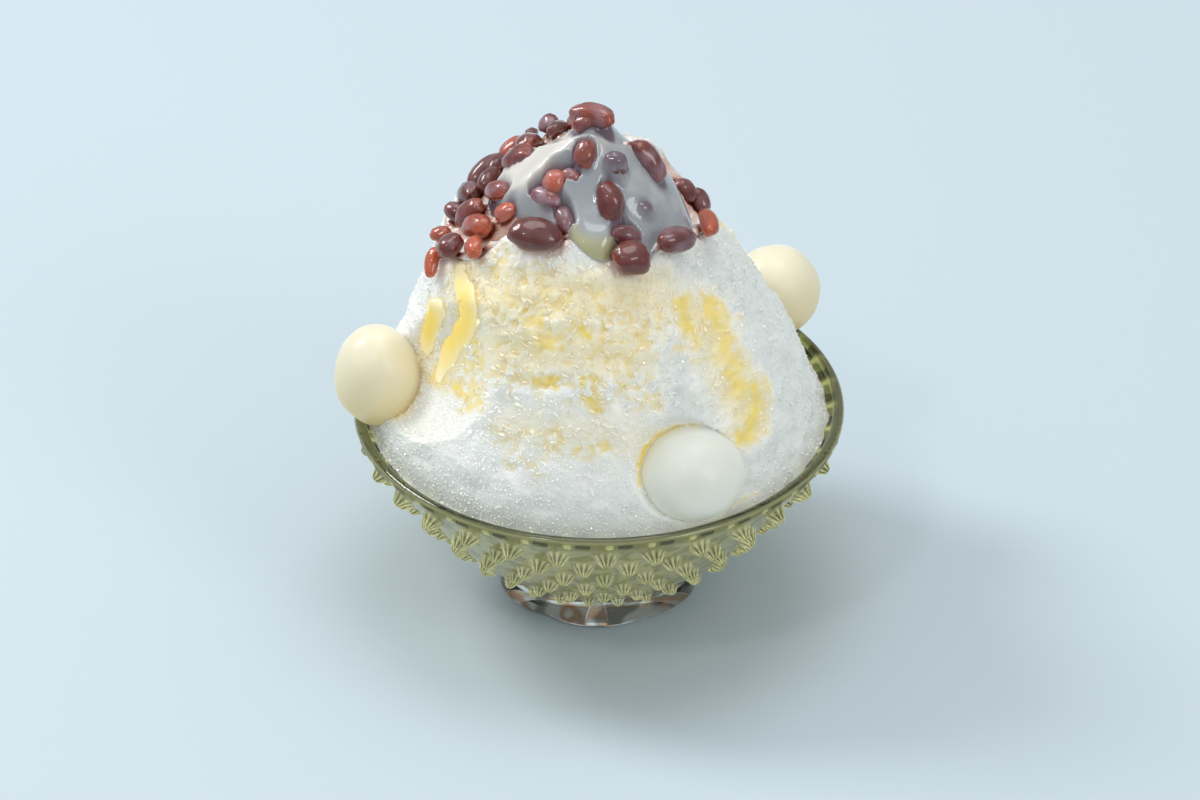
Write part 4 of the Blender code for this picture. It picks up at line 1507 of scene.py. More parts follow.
    def flake(self, seed: int) -> Object:
        """Makes one broken shaving.

        Args:
            seed: Picks its shape.

        Returns:
            A splinter of length 1 with a ridge, uneven at its ends.
        """
        rng = np.random.default_rng(seed)
        width = rng.uniform(0.12, 0.26)
        bend = rng.uniform(-0.25, 0.25)
        rings = []
        for share in (-0.30, 0.05, 0.34):
            half = width * rng.uniform(0.6, 1.2, 4)
            lift = bend * share
            rings.append(np.array(((share, -half[0], lift), (share, 0.2 * half[1], lift + half[1]),
                                   (share, half[2], lift), (share, 0.0, lift - 0.5 * half[3]))))
        start = np.array((-0.5, rng.uniform(-0.1, 0.1), -0.4 * bend))
        end = np.array((0.5, rng.uniform(-0.1, 0.1), 0.4 * bend))
        made = Skin().add(np.array(rings), start, end).build("flake_%d" % seed)
        made.data.shade_flat()
        return made

    def strew(self, body: Object, name: str, shapes: Sequence[Object],
              finish: Material, where: Value, density: float,
              sizes: Pair, lean: float, front: bool,
              seed: int) -> Object:
        """Strews copies of some shapes over one half of the ice.

        Args:
            body: The packed ice.
            name: Name of the new piece.
            shapes: The shapes to copy, of size 1.
            finish: Their material.
            where: The body's value that thins them out.
            density: How many lie on a square metre where that value is 1.
            sizes: Smallest and largest size.
            lean: How far a copy may lean out of the ice's surface, in radians.
            front: Whether they lie on the front half or the back half.
            seed: Picks their places.

        Returns:
            The strewn piece.
        """
        patterns = bpy.data.collections.new(name + "_shapes")
        bpy.context.scene.collection.children.link(patterns)
        for shape in shapes:
            patterns.objects.link(shape)
        grow = GrowingTree(name + "_strewn", {
            "Shapes": ("Collection", patterns),
            "Per square metre": ("Float", density),
            "Smallest": ("Float", sizes[0]),
            "Largest": ("Float", sizes[1]),
            "Least turn": ("Vector", (-lean, -lean, -math.pi)),
            "Most turn": ("Vector", (lean, lean, math.pi)),
            "Seed": ("Int", seed),
            "Ice": ("Material", finish)})
        loose = grow.add("GeometryNodeInputNamedAttribute", {"Name": where.value}, data_type="FLOAT")
        place = grow.add("GeometryNodeInputPosition")
        depth = grow.add("ShaderNodeSeparateXYZ", {0: place}, output="Y")
        half = grow.add("FunctionNodeCompare", {"A": depth, "B": 0.0},
                        operation="LESS_THAN" if front else "GREATER_EQUAL")
        thick = grow.add("ShaderNodeMath", {
            0: loose, 1: grow.entry["Per square metre"]}, operation="MULTIPLY")
        spots = grow.add("GeometryNodeDistributePointsOnFaces", {
            "Mesh": grow.entry["Geometry"], "Selection": half, "Density": thick,
            "Seed": grow.entry["Seed"]}).node.outputs
        kinds = grow.add("GeometryNodeCollectionInfo", {
            "Collection": grow.entry["Shapes"], "Separate Children": True,
            "Reset Children": True})
        turned, size = (
            grow.add("FunctionNodeRandomValue", {
                "Min": grow.entry[least], "Max": grow.entry[most],
                "Seed": grow.entry["Seed"]}, data_type=kind)
            for kind, least, most in (("FLOAT_VECTOR", "Least turn", "Most turn"),
                                      ("FLOAT", "Smallest", "Largest")))
        leaning = grow.add("FunctionNodeEulerToRotation", {0: turned})
        rotation = grow.add("FunctionNodeRotateRotation", {
            "Rotation": spots["Rotation"], "Rotate By": leaning}, rotation_space="LOCAL")
        copies = grow.add("GeometryNodeInstanceOnPoints", {
            "Points": spots["Points"], "Instance": kinds, "Pick Instance": True,
            "Rotation": rotation, "Scale": size})
        real = grow.add("GeometryNodeRealizeInstances", {"Geometry": copies})
        iced = grow.add("GeometryNodeSetMaterial", {"Geometry": real, "Material": grow.entry["Ice"]})
        made = grow.grow(body, name, iced)
        bpy.data.collections.remove(patterns)
        return made

    def build(self, finish: ShavedIce) -> BVHTree:
        """Makes the body, the crystals and the flakes.

        Args:
            finish: The ice.

        Returns:
            The body, as a tree to cast rays at.
        """
        body, tree = self.body(finish.material())
        crystals = [self.crystal(seed) for seed in (1, 2, 3, 4)]
        flakes = [self.flake(seed) for seed in (11, 12, 13, 14, 15, 16)]
        clear, white = finish.crystal_material(), finish.flake_material()
        pieces = []
        for front, side in ((True, "front"), (False, "back")):
            pieces.append(self.strew(body, "ice_crystals_" + side, crystals, clear, Value.LOOSE,
                                     self.crystals_thick[front], self.crystal_sizes, math.pi,
                                     front, 3 + front))
            pieces.append(self.strew(body, "ice_flakes_" + side, flakes, white, Value.FLAKY,
                                     self.flakes_thick[front], self.flake_sizes,
                                     self.flake_lean, front, 7 + front))
        drop(*crystals, *flakes)
        keep_piece(body, Slot.ICE, "shaved_ice")
        for piece in pieces:
            keep_piece(piece, Slot.ICE)
        return tree


# ---- sweet red beans
@dataclass(frozen=True)
class Bean:
    """One bean that lies in sight. Lengths are in mm.

    Attributes:
        across: Its middle, to the viewer's right.
        up: Its middle, up the picture.
        length: From end to end.
        width: Across it.
        tilt: Degrees that its long way is turned in the picture.
        tone: Colour of its skin, from dark brown, 0, to orange, 1. The orange is partly the
            skin's own colour and partly painted light coming through it from behind.
        film: How much milk clings to it, 1 where milk covers it.
    """

    across: float
    up: float
    length: float
    width: float
    tilt: float
    tone: float
    film: float


BEANS_IN_SIGHT: tuple[Bean, ...] = tuple(Bean(*row) for row in (
    (-1.3, 114.6, 12.5, 6.2, -12, 0.55, 0.25), (-3.8, 113.0, 6.5, 5.0, 25, 0.50, 0.10),
    (-12.6, 112.7, 5.6, 5.2, 10, 0.35, 0.50), (-16.9, 111.2, 4.4, 3.4, 70, 0.30, 0.10),
    (-21.7, 106.4, 8.2, 5.2, 40, 0.80, 0.35), (-28.5, 100.6, 13.5, 6.0, 48, 0.35, 0.10),
    (-32.3, 95.1, 6.8, 6.0, 80, 0.20, 0.25), (-25.5, 95.8, 8.3, 5.6, -5, 0.60, 0.50),
    (-32.5, 90.5, 9.6, 6.2, 40, 0.50, 0.10), (-30.5, 86.8, 9.6, 6.6, -5, 0.75, 0.35),
    (-39.8, 85.2, 5.6, 4.4, 10, 0.85, 0.10), (-37.3, 82.0, 7.4, 6.6, 40, 0.40, 0.35),
    (-31.9, 82.0, 7.2, 5.2, 85, 0.90, 0.10), (-41.9, 77.9, 8.0, 4.2, 80, 1.00, 0.05),
    (-15.9, 84.7, 13.8, 9.2, -8, 0.25, 0.05), (-11.1, 97.9, 6.4, 6.0, 60, 1.00, 0.05),
    (-7.3, 99.4, 5.5, 4.0, -10, 0.60, 0.60), (-13.4, 94.1, 8.8, 5.4, -20, 0.45, 0.60),
    (-3.5, 104.9, 7.4, 5.8, 80, 0.55, 0.10), (4.3, 102.1, 6.5, 5.5, -35, 0.20, 1.00),
    (12.6, 103.7, 12.0, 6.8, -55, 0.40, 0.35), (17.9, 102.1, 7.4, 4.8, -60, 0.30, 0.25),
    (2.8, 93.1, 10.4, 7.0, -78, 0.35, 0.05), (21.7, 96.1, 7.0, 5.4, -40, 0.40, 0.10),
    (25.5, 93.6, 7.0, 4.8, -60, 0.35, 0.15), (27.5, 87.8, 10.2, 5.2, -75, 0.80, 0.05),
    (19.4, 83.5, 11.4, 7.0, 12, 0.30, 0.30), (6.8, 84.5, 8.4, 5.2, -10, 0.30, 0.20),
    (8.1, 78.7, 9.8, 9.3, 0, 0.35, 0.00), (11.6, 90.5, 4.5, 3.6, -30, 0.20, 1.00),
    (-23.5, 90.5, 6.4, 4.6, 30, 0.95, 0.20), (-8.6, 88.3, 8.0, 4.8, -75, 0.25, 0.10),
))


@dataclass(frozen=True)
class LaidBean:
    """A bean in its place on the ice, lengths in metres."""

    radius: float
    turn: float
    length: float
    width: float
    tilt: float
    tone: float
    film: float


@dataclass(frozen=True)
class MilkForm:
    """Where the poured milk lies: its reach and its level over the ice."""

    heap: Heap
    # degrees from the front towards the right, reach in metres
    reach_curve: Curve = Curve(((1, 0.0276), (6, 0.0264), (11, 0.0238), (20, 0.0238),
                                (28, 0.0268), (37, 0.0246), (60, 0.0257), (80, 0.0244),
                                (105, 0.0200), (130, 0.0130), (160, 0.0090), (195, 0.0090),
                                (225, 0.0130), (250, 0.0225), (272, 0.0285), (290, 0.0262),
                                (312, 0.0235), (330, 0.0232), (340, 0.0243), (347, 0.0262),
                                (354, 0.0274)), 360.0)
    # height of the surface over the heap's outside: between the beans, at the edge, on top
    among_beans: float = -2.3 * MM
    at_edge: float = 0.7 * MM
    at_crest: float = -5.0 * MM
    crest_up: Pair = (0.1085, 0.1130)
    round_share: float = 0.16
    fold: float = 0.55 * MM
    fold_size: float = 8 * MM
    # pixels that a thick fold passes, half its width and its height
    ridges: tuple[tuple[Pixels, float, float], ...] = (
        (((590, 130), (572, 148), (548, 172), (518, 200)), 5.0 * MM, 2.9 * MM),
        (((522, 212), (545, 219), (566, 226)), 2.6 * MM, 1.6 * MM),
        (((640, 188), (668, 205), (694, 222)), 3.0 * MM, 0.8 * MM),
        (((600, 215), (600, 250)), 4.5 * MM, 0.9 * MM),
    )

    def reach(self, turn: Array) -> Array:
        """How far the milk reaches from the axis."""
        return self.reach_curve.at(np.degrees(turn))

    def level(self, radius: Array, turn: Array) -> Array:
        """Height of the milk's surface straight over the ice, falling round at its edge.

        Args:
            radius: Radii on the heap.
            turn: Directions.

        Returns:
            The heights.
        """
        share = radius / self.reach(turn)
        outside = self.heap.outside(radius, turn)
        outer = polar(radius, turn, outside)
        up = self.heap.sight.projected(outer)[..., 1]
        offset = self.among_beans + (self.at_edge - self.among_beans) * smooth(
            (share - 0.72) / 0.28) * smooth((np.cos(turn) - 0.80) / 0.15)
        crest = smooth((up - self.crest_up[0]) / (self.crest_up[1] - self.crest_up[0]))
        offset = offset * (1 - crest) + self.at_crest * crest
        for pixels, half_width, height in self.ridges:
            off = self.heap.sight.off_line(outer, pixels) / half_width
            offset = offset + height * np.exp(-off * off)
        offset = offset + self.fold * lumps(polar(radius, turn, 0.0), self.fold_size, 4.0)
        near_edge = np.clip((share - 1 + self.round_share) / self.round_share, 0.0, 1.0)
        rounded = np.sqrt(np.maximum(1 - near_edge ** 2, 0.0))
        free = outside - self.heap.ice(radius, turn)
        return np.maximum(free + offset * self.heap.slant(radius), 0.6 * MM) * rounded


@dataclass(frozen=True)
class BeanCap:
    """The beans on the summit and the syrup crust that binds them."""

    heap: Heap
    milk: MilkForm
    more_beans: int = 9
    tries: int = 4000
    spacing: float = 0.0062
    edge: float = 0.0025
    settling: int = 16
    settle_pace: float = 0.5
    stray: float = 0.0055
    behind_cost: float = 0.1
    lengths: Pair = (0.0072, 0.0108)
    slender: float = 0.68
    flat: float = 0.86
    curl: Pair = (-0.10, -0.30)
    curl_middle: float = 0.4
    taper: float = 0.3
    core_thickness: float = 0.0028
    core_inset: float = 0.0022
    sink: float = 0.0009
    clearance: float = 0.0004
    seed: int = 27
    behind: Pair = (math.radians(150), math.radians(262))
    least_behind: float = 0.35
    bands: int = 22
    sides: int = 28
    least_facing: float = 0.3
    crust_rings: int = 60
    crust_sides: int = 260
    bind: float = 3.4 * MM
    # where the crust is heaped: across and up as the viewer sees it, its radius and height
    crust_heaps: tuple[tuple[float, float, float, float], ...] = (
        (0.0088, 0.1060, 0.0030, 0.0020), (0.0130, 0.1030, 0.0030, 0.0014))

    def plan(self) -> list[LaidBean]:
        """Every bean in its place: first those in sight, then those behind."""
        laid = [self.settle(bean) for bean in BEANS_IN_SIGHT]
        rng = random.Random(self.seed)
        tones = random.Random(self.seed + 1)
        spots = [self.heap.point(b.radius, b.turn) for b in laid]
        for _ in range(self.tries):
            if len(laid) == len(BEANS_IN_SIGHT) + self.more_beans:
                break
            turn = rng.uniform(*self.behind)
            share = self.least_behind + (1 - self.least_behind) * math.sqrt(rng.random())
            radius = (float(self.heap.reach(turn)) - self.edge) * share
            here = self.heap.point(radius, turn)
            if all(np.linalg.norm(here - spot) > self.spacing for spot in spots):
                length = rng.uniform(*self.lengths)
                laid.append(LaidBean(radius, turn, length, length * self.slender,
                                     rng.uniform(-90, 90), tones.uniform(0.2, 0.8),
                                     tones.uniform(0.0, 0.3)))
                spots.append(here)
        return [bean for bean, spot in zip(laid, spots) if not self.peeps_out(spot)]

    def peeps_out(self, spot: Array) -> bool:
        """Whether a bean behind the summit would show to its right, where only crust does."""
        return bool(spot[0] > 0.0 and spot[1] > 0.012 and spot[2] > 0.100)

    def base(self, radius: float, turn: float, width: float) -> float:
        """How far a bean's middle lies above the ice.

        Args:
            radius: The bean's radius on the heap.
            turn: Its direction.
            width: Its width.

        Returns:
            The height, square to the ice.
        """
        half = width * self.flat / 2
        inside = float(smooth((1 - radius / float(self.heap.reach(turn))) / self.taper))
        spare = max(self.heap.bean_layer - 2 * half, 0.0)
        return half + self.clearance + inside * min(spare, self.core_thickness - self.sink)

    def settle(self, bean: Bean) -> LaidBean:
        """Lays a bean so that its middle shows where the viewer sees it.

        Args:
            bean: The bean as the viewer sees it.

        Returns:
            The bean in its place.
        """
        sight = self.heap.sight
        width = bean.width * MM
        wanted = np.array((bean.across, bean.up)) * MM
        aim = wanted.copy()
        best, least_off = (0.0, 0.0), math.inf
        for _ in range(self.settling):
            radius, turn = self.heap.spot(float(aim[0]), float(aim[1]))
            middle = self.heap.point(radius, turn) + self.heap.normal(
                radius, turn) * self.base(radius, turn, width)
            away = wanted - sight.projected(middle)
            off = float(np.linalg.norm(away)) + self.behind_cost * max(float(middle[1]), 0.0)
            if off < least_off:
                best, least_off = (radius, turn), off
            aim = np.clip(aim + self.settle_pace * away, wanted - self.stray, wanted + self.stray)
        return LaidBean(*best, bean.length * MM, width, bean.tilt, bean.tone, bean.film)

    def axes(self, normal: Array, tilt: float) -> Array:
        """Which way a bean lies.

        Args:
            normal: The way that the ice faces under it.
            tilt: Degrees that its long way is turned as the viewer sees it.

        Returns:
            Its long, wide and thick directions.
        """
        angle = math.radians(tilt)
        viewer = self.heap.sight.viewer
        seen = (np.array((math.cos(angle), 0.0, 0.0)) + math.sin(angle) * self.heap.sight.upward)
        facing = max(float(normal @ viewer), self.least_facing)
        long_way = seen - viewer * float(seen @ normal) / facing
        long_way = unit(long_way - normal * float(long_way @ normal))
        return np.array((long_way, np.cross(normal, long_way), normal))

    def add_bean(self, skin: Skin, bean: LaidBean, seed: int) -> None:
        """Adds one kidney-shaped bean, a little uneven, with its colours.

        Args:
            skin: Gets the bean.
            bean: The bean in its place.
            seed: Picks how it is uneven.
        """
        normal = self.heap.normal(bean.radius, bean.turn)
        axes = self.axes(normal, bean.tilt)
        halves = np.array((bean.length / 2, bean.width / 2, bean.width * self.flat / 2))
        centre = self.heap.point(bean.radius, bean.turn) + normal * self.base(
            bean.radius, bean.turn, bean.width)
        share = np.linspace(0.0, 1.0, self.bands + 2)[1:-1][:, None]
        angle = circle(self.sides)[None, :]
        lengthwise = -np.cos(np.pi * share) + 0 * angle
        girth = np.sin(np.pi * share) ** 0.82
        slender = min(max(bean.length / bean.width - 1.4, 0.0), 0.8)
        bent = self.curl[0] + self.curl[1] * slender
        curl = bent * (lengthwise ** 2 - self.curl_middle)
        local = np.stack((lengthwise, girth * np.cos(angle) + curl, girth * np.sin(angle)), -1)
        wander = 1 + 0.10 * lumps(local * 2.0, 1.5, seed * 3.1)[..., None]
        pucker = 1 + 0.05 * lumps(local * np.array((1.0, 2.5, 2.5)), 0.6, seed * 1.7)[..., None]
        offsets = (local * wander * pucker * halves) @ axes
        places = centre + offsets
        tips = [centre + np.array((end, bent * (1 - self.curl_middle), 0.0)) * halves @ axes
                for end in (-1.0, 1.0)]
        radius, turn = round_axis(places)
        over_ice = places[..., 2] - self.heap.ice(radius, turn)
        milk = self.milk.level(radius, turn)
        in_milk = smooth((self.milk.reach(turn) - radius) / (1.5 * MM) + 0.5)
        wetted = smooth((milk + 1.1 * MM - over_ice) / (1.1 * MM)) * in_milk
        patches = smooth(0.5 + 1.4 * lumps(places, 3.2 * MM, seed + 0.5))
        clinging = 0.8 if bean.film >= 1.0 else 0.3
        film = np.clip(bean.film * patches * 1.1 + clinging * wetted, 0.0, 1.0)
        # painted backlight: the ends turn orange as if light came through the thin skin there, with
        # some random tone on top
        thin = 0.15 * np.abs(local[..., 0]) ** 3 + 0.10 * lumps(places, 2 * MM, seed)
        skin.add(places, tips[0], tips[1], {
            Value.TONE: np.clip(bean.tone + thin, 0.0, 1.0), Value.FILM: film})

    def crust(self, beans: BVHTree, finish: Material) -> Object:
        """Makes the crumbly layer that binds the beans; away from them it sinks into the ice.

        Args:
            beans: The beans.
            finish: Its material.

        Returns:
            The crust.
        """
        turns = circle(self.crust_sides)
        shares = np.linspace(0.0, 1.0, self.crust_rings + 1)[1:][:, None]
        radius = (self.heap.reach(turns) - self.core_inset)[None, :] * shares
        places = self.heap.point(radius, turns[None, :])
        normals = self.heap.normal(radius, turns[None, :])
        edge = smooth((1 - shares) / self.taper)
        crumbs = granules(places, 2.2 * MM) - 0.4
        fine = lumps(places, 0.9 * MM, 6.0)
        bound = smooth((self.bind - distances(beans, places + normals * 1.5 * MM)) / (0.5 * self.bind))
        height = (0.5 * MM + 2.2 * MM * edge) + (1.1 * MM * crumbs + 0.3 * MM * fine)
        height = height * bound - 0.6 * MM * (1 - bound)
        rubble = granules(places, 1.3 * MM)
        for across, up, radius_of, rise in self.crust_heaps:
            seen = self.heap.sight.projected(places) - np.array((across, up))
            height = height + rise * (0.6 + 0.9 * rubble) * np.exp(
                -(seen ** 2).sum(axis=-1) / radius_of ** 2)
        top = places + normals * height[..., None]
        low = places - normals * 1.5 * MM
        beside = smooth(1.2 - distances(beans, top) / (1.6 * MM))
        stain = 0.75 * beside + 0.35 * smooth(0.5 + 1.1 * lumps(places, 4 * MM, 8.0))
        peak, up = self.heap.point(0.0, 0.0), self.heap.normal(0.0, 0.0)
        skin = Skin().add(
            np.concatenate((top, low[::-1])), peak + up * 2.3 * MM, peak - up * 1.5 * MM,
            {Value.TONE: np.concatenate((stain, stain[::-1]))})
        return skin.build("syrup_crust", finish)

    def build(self, skin_finish: SimmeredBeanSkin,
              crust_finish: SyrupCrust) -> tuple[list[LaidBean], BVHTree, int]:
        """Makes the beans and the crust.

        Args:
            skin_finish: The beans' finish.
            crust_finish: The crust's finish.

        Returns:
            The beans' places, a tree to cast rays at them and the faces of one bean.
        """
        skin = Skin()
        laid = self.plan()
        for i, bean in enumerate(laid):
            self.add_bean(skin, bean, i)
        keep_piece(skin.build("sweet_red_beans", skin_finish.material()), Slot.BEAN, "red_beans")
        tree = skin.tree()
        keep_piece(self.crust(tree, crust_finish.material()), Slot.BEAN)
        return laid, tree, len(skin.faces) // len(laid)


# ---- condensed milk
@dataclass(frozen=True)
class PouredMilk:
    """Condensed milk over the beans, and its thick runs down the ice."""

    heap: Heap
    form: MilkForm
    rings: int = 80
    sides: int = 260
    meniscus: float = 0.8 * MM
    meniscus_width: float = 1.3 * MM
    cast_height: float = 16 * MM
    sunk: float = 0.8 * MM
    # pixels of thick runs, with half width and thickness in mm, and how yellow they are
    runs: tuple[tuple[Pixels, float, float, float], ...] = (
        (((463, 262), (466, 284), (471, 306), (470, 325), (458, 344), (447, 363), (439, 383)),
         3.1, 0.55, 1.0),
        (((444, 300), (437, 318), (431, 337), (427, 353)), 2.6, 0.5, 1.0),
        (((422, 357), (414, 377), (407, 399), (400, 412)), 1.3, 1.0, 0.15),
    )
    run_sides: int = 20
    run_steps: int = 70
    # side of each thick run that is painted whiter, as a painted highlight
    painted_lip_turn: float = math.pi
    # pixels that the creamy streak passes, a painted highlight along the left fold, and how wide it is
    painted_highlight_streak: Pixels = ((572, 130), (552, 146), (534, 162), (516, 178))
    painted_highlight_width: float = 3.3 * MM
    # how far bare beans stand out of the milk
    bare_beans: float = 2.2 * MM
    view_distance: float = 0.3

    def sheet(self, tree: BVHTree, veiled: Sequence[bool], faces_per_bean: int,
              finish: Material) -> Object:
        """Makes the sheet that covers the summit.

        Args:
            tree: The beans.
            veiled: For each bean, whether the milk covers it.
            faces_per_bean: Faces of one bean in the tree.
            finish: The milk.

        Returns:
            The sheet.
        """
        turns = circle(self.sides)
        shares = np.linspace(0.0, 1.0, self.rings + 1)[1:]
        radius = shares[:, None] * self.form.reach(turns)[None, :]
        turn = np.broadcast_to(turns[None, :], radius.shape)
        base = self.heap.point(radius, turn)
        level = self.form.level(radius, turn)
        up = Vector((0.0, 0.0, 1.0))
        bean_top = np.full_like(level, -self.cast_height)
        for k, j in np.ndindex(level.shape):
            start = Vector(base[k, j]) + up * self.cast_height
            hit, _, face, distance = tree.ray_cast(start, -up, self.cast_height)
            if hit is None:
                continue
            bean_top[k, j] = self.cast_height - distance
            if veiled[face // faces_per_bean]:
                level[k, j] = max(level[k, j], bean_top[k, j] + 0.5 * MM)
            else:
                level[k, j] = min(level[k, j], max(bean_top[k, j] - self.bare_beans, 0.8 * MM))
        spread(level, 3, 4)
        veil = smooth((bean_top - level + 2.4 * MM) / (2.2 * MM))
        spread(veil, 4, 2)
        places = base + np.stack((0 * level, 0 * level, level), axis=-1)
        places[..., 2] += self.meniscus * np.clip(
            1 - distances(tree, places) / self.meniscus_width, 0.0, 1.0) ** 2
        low = base - np.array((0.0, 0.0, self.sunk))
        rings = np.concatenate((places, low[::-1]))
        soaked = np.zeros_like(rings[..., 0])
        soaked[:self.rings] = smooth((shares[:, None] - 0.84) / 0.15) * smooth(
            (np.cos(turn) - 0.92) / 0.07) * 0.9
        # painted highlight: a creamy streak along the left fold, carried by the tone value
        off = self.heap.sight.off_line(rings, self.painted_highlight_streak) / self.painted_highlight_width
        peak = self.heap.point(0.0, 0.0)
        skin = Skin().add(rings, peak + up * float(level[0].mean()), peak - up * self.sunk, {
            Value.VEIL: np.concatenate((veil, 0 * veil)), Value.SOAKED: soaked,
            Value.TONE: 0.75 * np.exp(-off * off)})
        return skin.build("poured_milk", finish)

    def cast(self, ice: BVHTree, pixels: Array) -> tuple[Array, Array]:
        """Finds what the viewer sees of the ice along a line.

        Args:
            ice: The ice.
            pixels: The line's pixels.

        Returns:
            Places on the ice and the ways that it faces there, both evened out.
        """
        viewer = self.heap.sight.viewer
        places, normals = [], []
        for pixel in pixels:
            across, up = self.heap.sight.seen(pixel)
            start = (np.array((across, 0.0, 0.0)) + up * self.heap.sight.upward
                     + viewer * self.view_distance)
            hit, normal, _, _ = ice.ray_cast(Vector(start), Vector(-viewer))
            places.append(hit)
            normals.append(normal)
        places, normals = np.array(places), np.array(normals)
        for _ in range(6):
            for row in (places, normals):
                row[1:-1] = (row[:-2] + 2 * row[1:-1] + row[2:]) / 4
        return places, unit(normals)

    def thick_runs(self, ice: BVHTree, finish: Material) -> Object:
        """Makes the thick runs that lie on the ice like flattened ropes.

        Args:
            ice: The ice.
            finish: Their material.

        Returns:
            The runs as one object.
        """
        skin = Skin()
        angles = circle(self.run_sides)
        for pixels, half_width, thick, rich in self.runs:
            knots = np.array(pixels, float)
            numbers = np.arange(len(knots), dtype=float)
            at = np.linspace(0.0, len(knots) - 1.0, self.run_steps)
            line = np.stack([Curve(tuple(zip(numbers, knots[:, axis]))).at(at)
                             for axis in (0, 1)], axis=-1)
            middle, normals = self.cast(ice, line)
            ways = unit(np.gradient(middle, axis=0))
            sideways = unit(np.cross(ways, normals))
            share = at / at[-1]
            swell = np.sqrt(np.clip(1 - (2 * share - 1) ** 6, 0.0, 1.0))
            wander = 1 + 0.35 * lumps(middle, 4 * MM, half_width)
            width = (half_width * MM * swell * wander)[:, None, None]
            height = (thick * MM * swell * (0.8 + 0.2 * wander))[:, None, None]
            rings = (middle[:, None] + sideways[:, None] * width * np.cos(angles)[None, :, None]
                     + normals[:, None] * height * np.sin(angles)[None, :, None])
            rings = rings[1:-1]
            core = 0.25 + 0.80 * np.sin(np.pi * share[1:-1])[:, None]
            value = rich * core + 0.15 * lumps(rings, 3 * MM, 2.0)
            # painted highlight: one side of each run is kept whiter
            painted_lip = 0.5 + 0.5 * np.cos(angles - self.painted_lip_turn)[None, :]
            skin.add(rings, middle[0], middle[-1], {
                Value.SOAKED: np.clip(value * (1 - 0.6 * painted_lip ** 4), 0.0, 1.0),
                Value.VEIL: 0 * value, Value.TONE: 0.5 + 0 * value})
        return skin.build("milk_runs", finish)

    def build(self, finish: CondensedMilk, thick_finish: CondensedMilk,
              laid: Sequence[LaidBean], tree: BVHTree, faces_per_bean: int,
              ice: BVHTree) -> None:
        """Makes the sheet and the runs.

        Args:
            finish: The milk over the beans, thin and in the shade, with painted shade in its colours.
            thick_finish: The milk of the runs.
            laid: The beans.
            tree: The beans, to cast rays at.
            faces_per_bean: Faces of one bean in the tree.
            ice: The ice, to cast rays at.
        """
        veiled = [bean.film >= 1.0 for bean in laid]
        keep_piece(self.sheet(tree, veiled, faces_per_bean, finish.material()),
                   Slot.MILK, "condensed_milk")
        keep_piece(self.thick_runs(ice, thick_finish.material()), Slot.MILK)


# ---- rice dumplings
@dataclass(frozen=True)
class RiceDumpling:
    """One hand-rolled dumpling, which lies where its CAD node does."""

    node: str
    seed: float
    sides: int = 72
    bands: int = 46
    wobble: float = 0.035
    dent: float = 0.02
    pole: float = 0.985

    def build(self, finish: Material) -> None:
        """Makes the dumpling.

        Args:
            finish: Its material.
        """
        low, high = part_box(self.node)
        centre = np.array((low + high) / 2)
        halves = np.array((high - low) / 2)
        share = np.linspace(0.0, np.pi, self.bands + 2)[1:-1][:, None]
        angle = circle(self.sides)[None, :]
        ball = np.stack((np.sin(share) * np.cos(angle), np.sin(share) * np.sin(angle),
                         np.cos(share) + 0 * angle), axis=-1)
        swell = 1 - self.wobble / 2 + self.wobble * 0.5 * lumps(ball * 1.3, 1.0, self.seed)
        swell += self.dent * lumps(ball, 0.45, self.seed + 4)
        rings = centre + ball * swell[..., None] * halves
        pole = np.array((0, 0, halves[2] * self.pole))
        made = Skin().add(rings, centre + pole, centre - pole).build(self.node + "_boiled", finish)
        keep_piece(made, Slot.RICE, self.node)


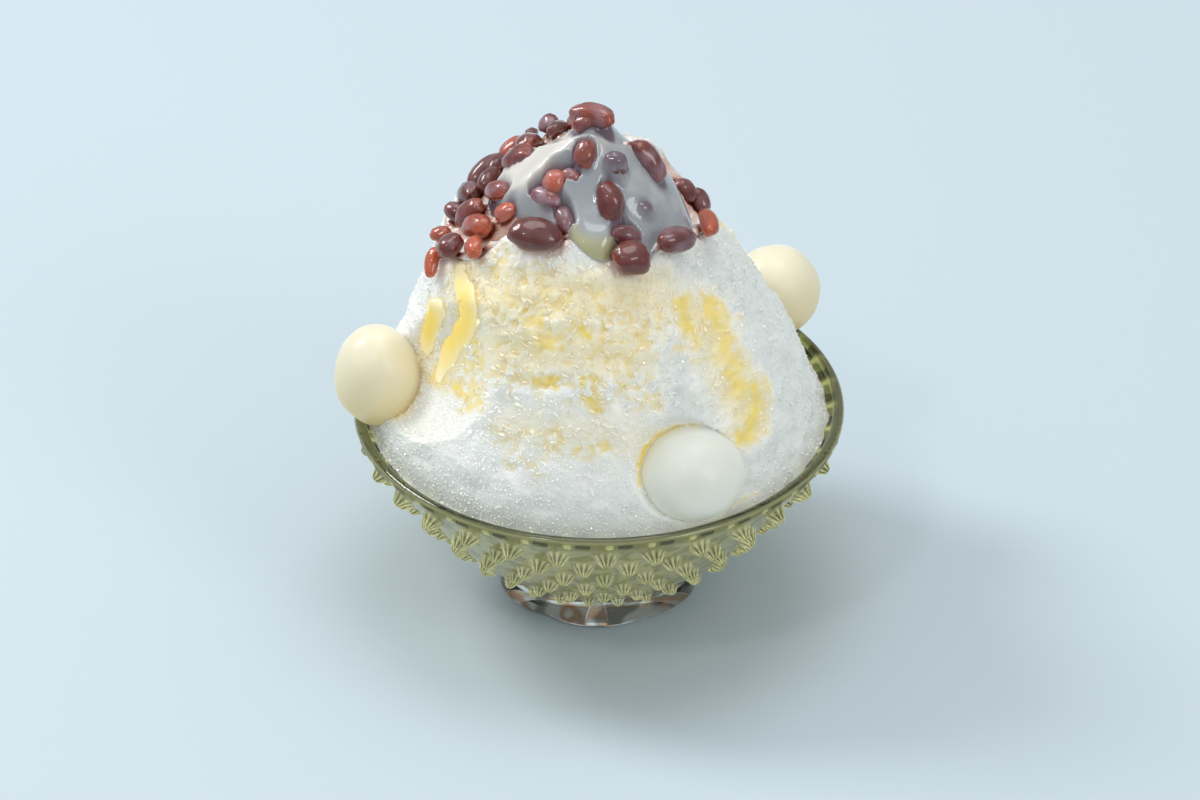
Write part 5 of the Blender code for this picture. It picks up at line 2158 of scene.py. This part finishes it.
# ---- studio
@dataclass(frozen=True)
class Studio:
    """A plain pale floor, soft light from the upper left and the viewer's camera."""

    sight: Sight
    floor: str = "#C4D2DA"
    sky: str = "#EEF2F4"
    horizon: str = "#AEB6BA"
    ground: str = "#7C8286"
    sky_strength: float = 0.78
    floor_size: float = 3.0
    floor_gap: float = 0.2 * MM
    # name, place, size and power of each softbox; all aim at the bowl
    boxes: tuple[tuple[str, tuple[float, float, float], float, float], ...] = (
        ("key", (-0.9, 0.45, 1.05), 0.5, 8.8),
        ("top", (0.1, 0.3, 1.5), 0.9, 5.0),
        ("fill", (0.9, -0.9, 0.9), 0.6, 3.6),
        ("window", (-0.45, -0.70, 1.15), 0.16, 1.4),
    )

    def hang(self, name: str, data: ID, place: Vector, way: Vector) -> Object:
        """Puts a camera or a lamp into the room.

        Args:
            name: Its name.
            data: The camera or the lamp.
            place: Where it stands.
            way: Where it looks.

        Returns:
            Its object.
        """
        made = show(name, data)
        made.location = place
        made.rotation_euler = way.to_track_quat("-Z", "Y").to_euler()
        return made

    def camera(self) -> None:
        """Places the camera as the viewer stands."""
        data = bpy.data.cameras.new("camera")
        data.lens = self.sight.lens
        data.sensor_width = 36.0
        data.clip_start = 0.05
        back = Vector(self.sight.viewer)
        place = Vector(self.sight.aim) + back * self.sight.distance
        bpy.context.scene.camera = self.hang("camera", data, place, -back)

    def lights(self) -> None:
        """Hangs the softboxes."""
        for name, place, size, power in self.boxes:
            data = bpy.data.lights.new(name, "AREA")
            data.shape = "DISK"
            data.size = size
            data.energy = power
            self.hang(name, data, Vector(place), Vector(self.sight.aim) - Vector(place))

    def sky_light(self) -> None:
        """Lights the room softly, brighter from above than from the sides."""
        world = bpy.data.worlds.new("studio")
        bpy.context.scene.world = world
        world.use_nodes = True
        sky = Nodes(world.node_tree, "ShaderNode")
        place = sky.add("TexCoord", output="Generated")
        height = sky.add("SeparateXYZ", {0: place}, output="Z")
        share = sky.add("MapRange", {"Value": height, "From Min": -0.2, "From Max": 0.9})
        colour = sky.add("ValToRGB", {"Fac": share}, stops=(
            (0.0, self.ground), (0.3, self.horizon), (1.0, self.sky)))
        sky.fill(world.node_tree.nodes["Background"], {"Color": colour, "Strength": self.sky_strength})

    def ground_plane(self) -> None:
        """Lays the floor."""
        half, low = self.floor_size / 2, -self.floor_gap
        mesh = bpy.data.meshes.new("floor")
        mesh.from_pydata([(-half, -half, low), (half, -half, low), (half, half, low),
                          (-half, half, low)], [], [(0, 1, 2, 3)])
        mesh.materials.append(Paint("matte_paper_floor").dressed({
            "Base Color": linear(self.floor), "Roughness": 0.6}))
        show("floor", mesh)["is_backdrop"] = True

    def build(self) -> None:
        """Sets up the floor, the lights and the camera."""
        self.camera()
        self.lights()
        self.sky_light()
        self.ground_plane()
        bpy.context.scene.view_settings.view_transform = "Standard"


def corners() -> list[list[float]]:
    """The shown object's lowest and highest corner, as plain lists."""
    return [list(corner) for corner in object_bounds()]


def main() -> None:
    """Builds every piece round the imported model."""
    logging.basicConfig(level=logging.INFO, format="%(name)s: %(message)s")
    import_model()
    sight = Sight()
    Studio(sight).build()
    bowl = GlassBowl()
    bowl.build(PressedSodaLimeGlass())
    heap = Heap(sight)
    form = MilkForm(heap)
    laid, tree, faces_per_bean = BeanCap(heap, form).build(SimmeredBeanSkin(), SyrupCrust())
    ice = IceMound(heap, bowl, SoakedMilk(heap), tree).build(ShavedIce())
    # the runs' milk, with its own cream and yellow and a painted glow; the sheet keeps the darker
    # defaults, which hold painted shade
    thick = CondensedMilk("thick_condensed_milk", "#FBF2CC", "#FDF7DA", "#F3E6B0", "#FBD860",
                          0.15, 0.22)
    PouredMilk(heap, form).build(CondensedMilk(), thick, laid, tree, faces_per_bean, ice)
    warm = BoiledRiceDough("boiled_rice_dough", "#D9D3BC", "#D2C088", 0.050, 0.080).material()
    wet = BoiledRiceDough("wet_rice_dough", "#C3C5BD", "#BFC2B7", 0.048, 0.072, 0.42).material()
    RiceDumpling("rice_dumpling_left", 5.0).build(warm)
    RiceDumpling("rice_dumpling_front", 6.0).build(wet)
    RiceDumpling("rice_dumpling_back", 7.0).build(warm)


if __name__ == "__main__":
    main()
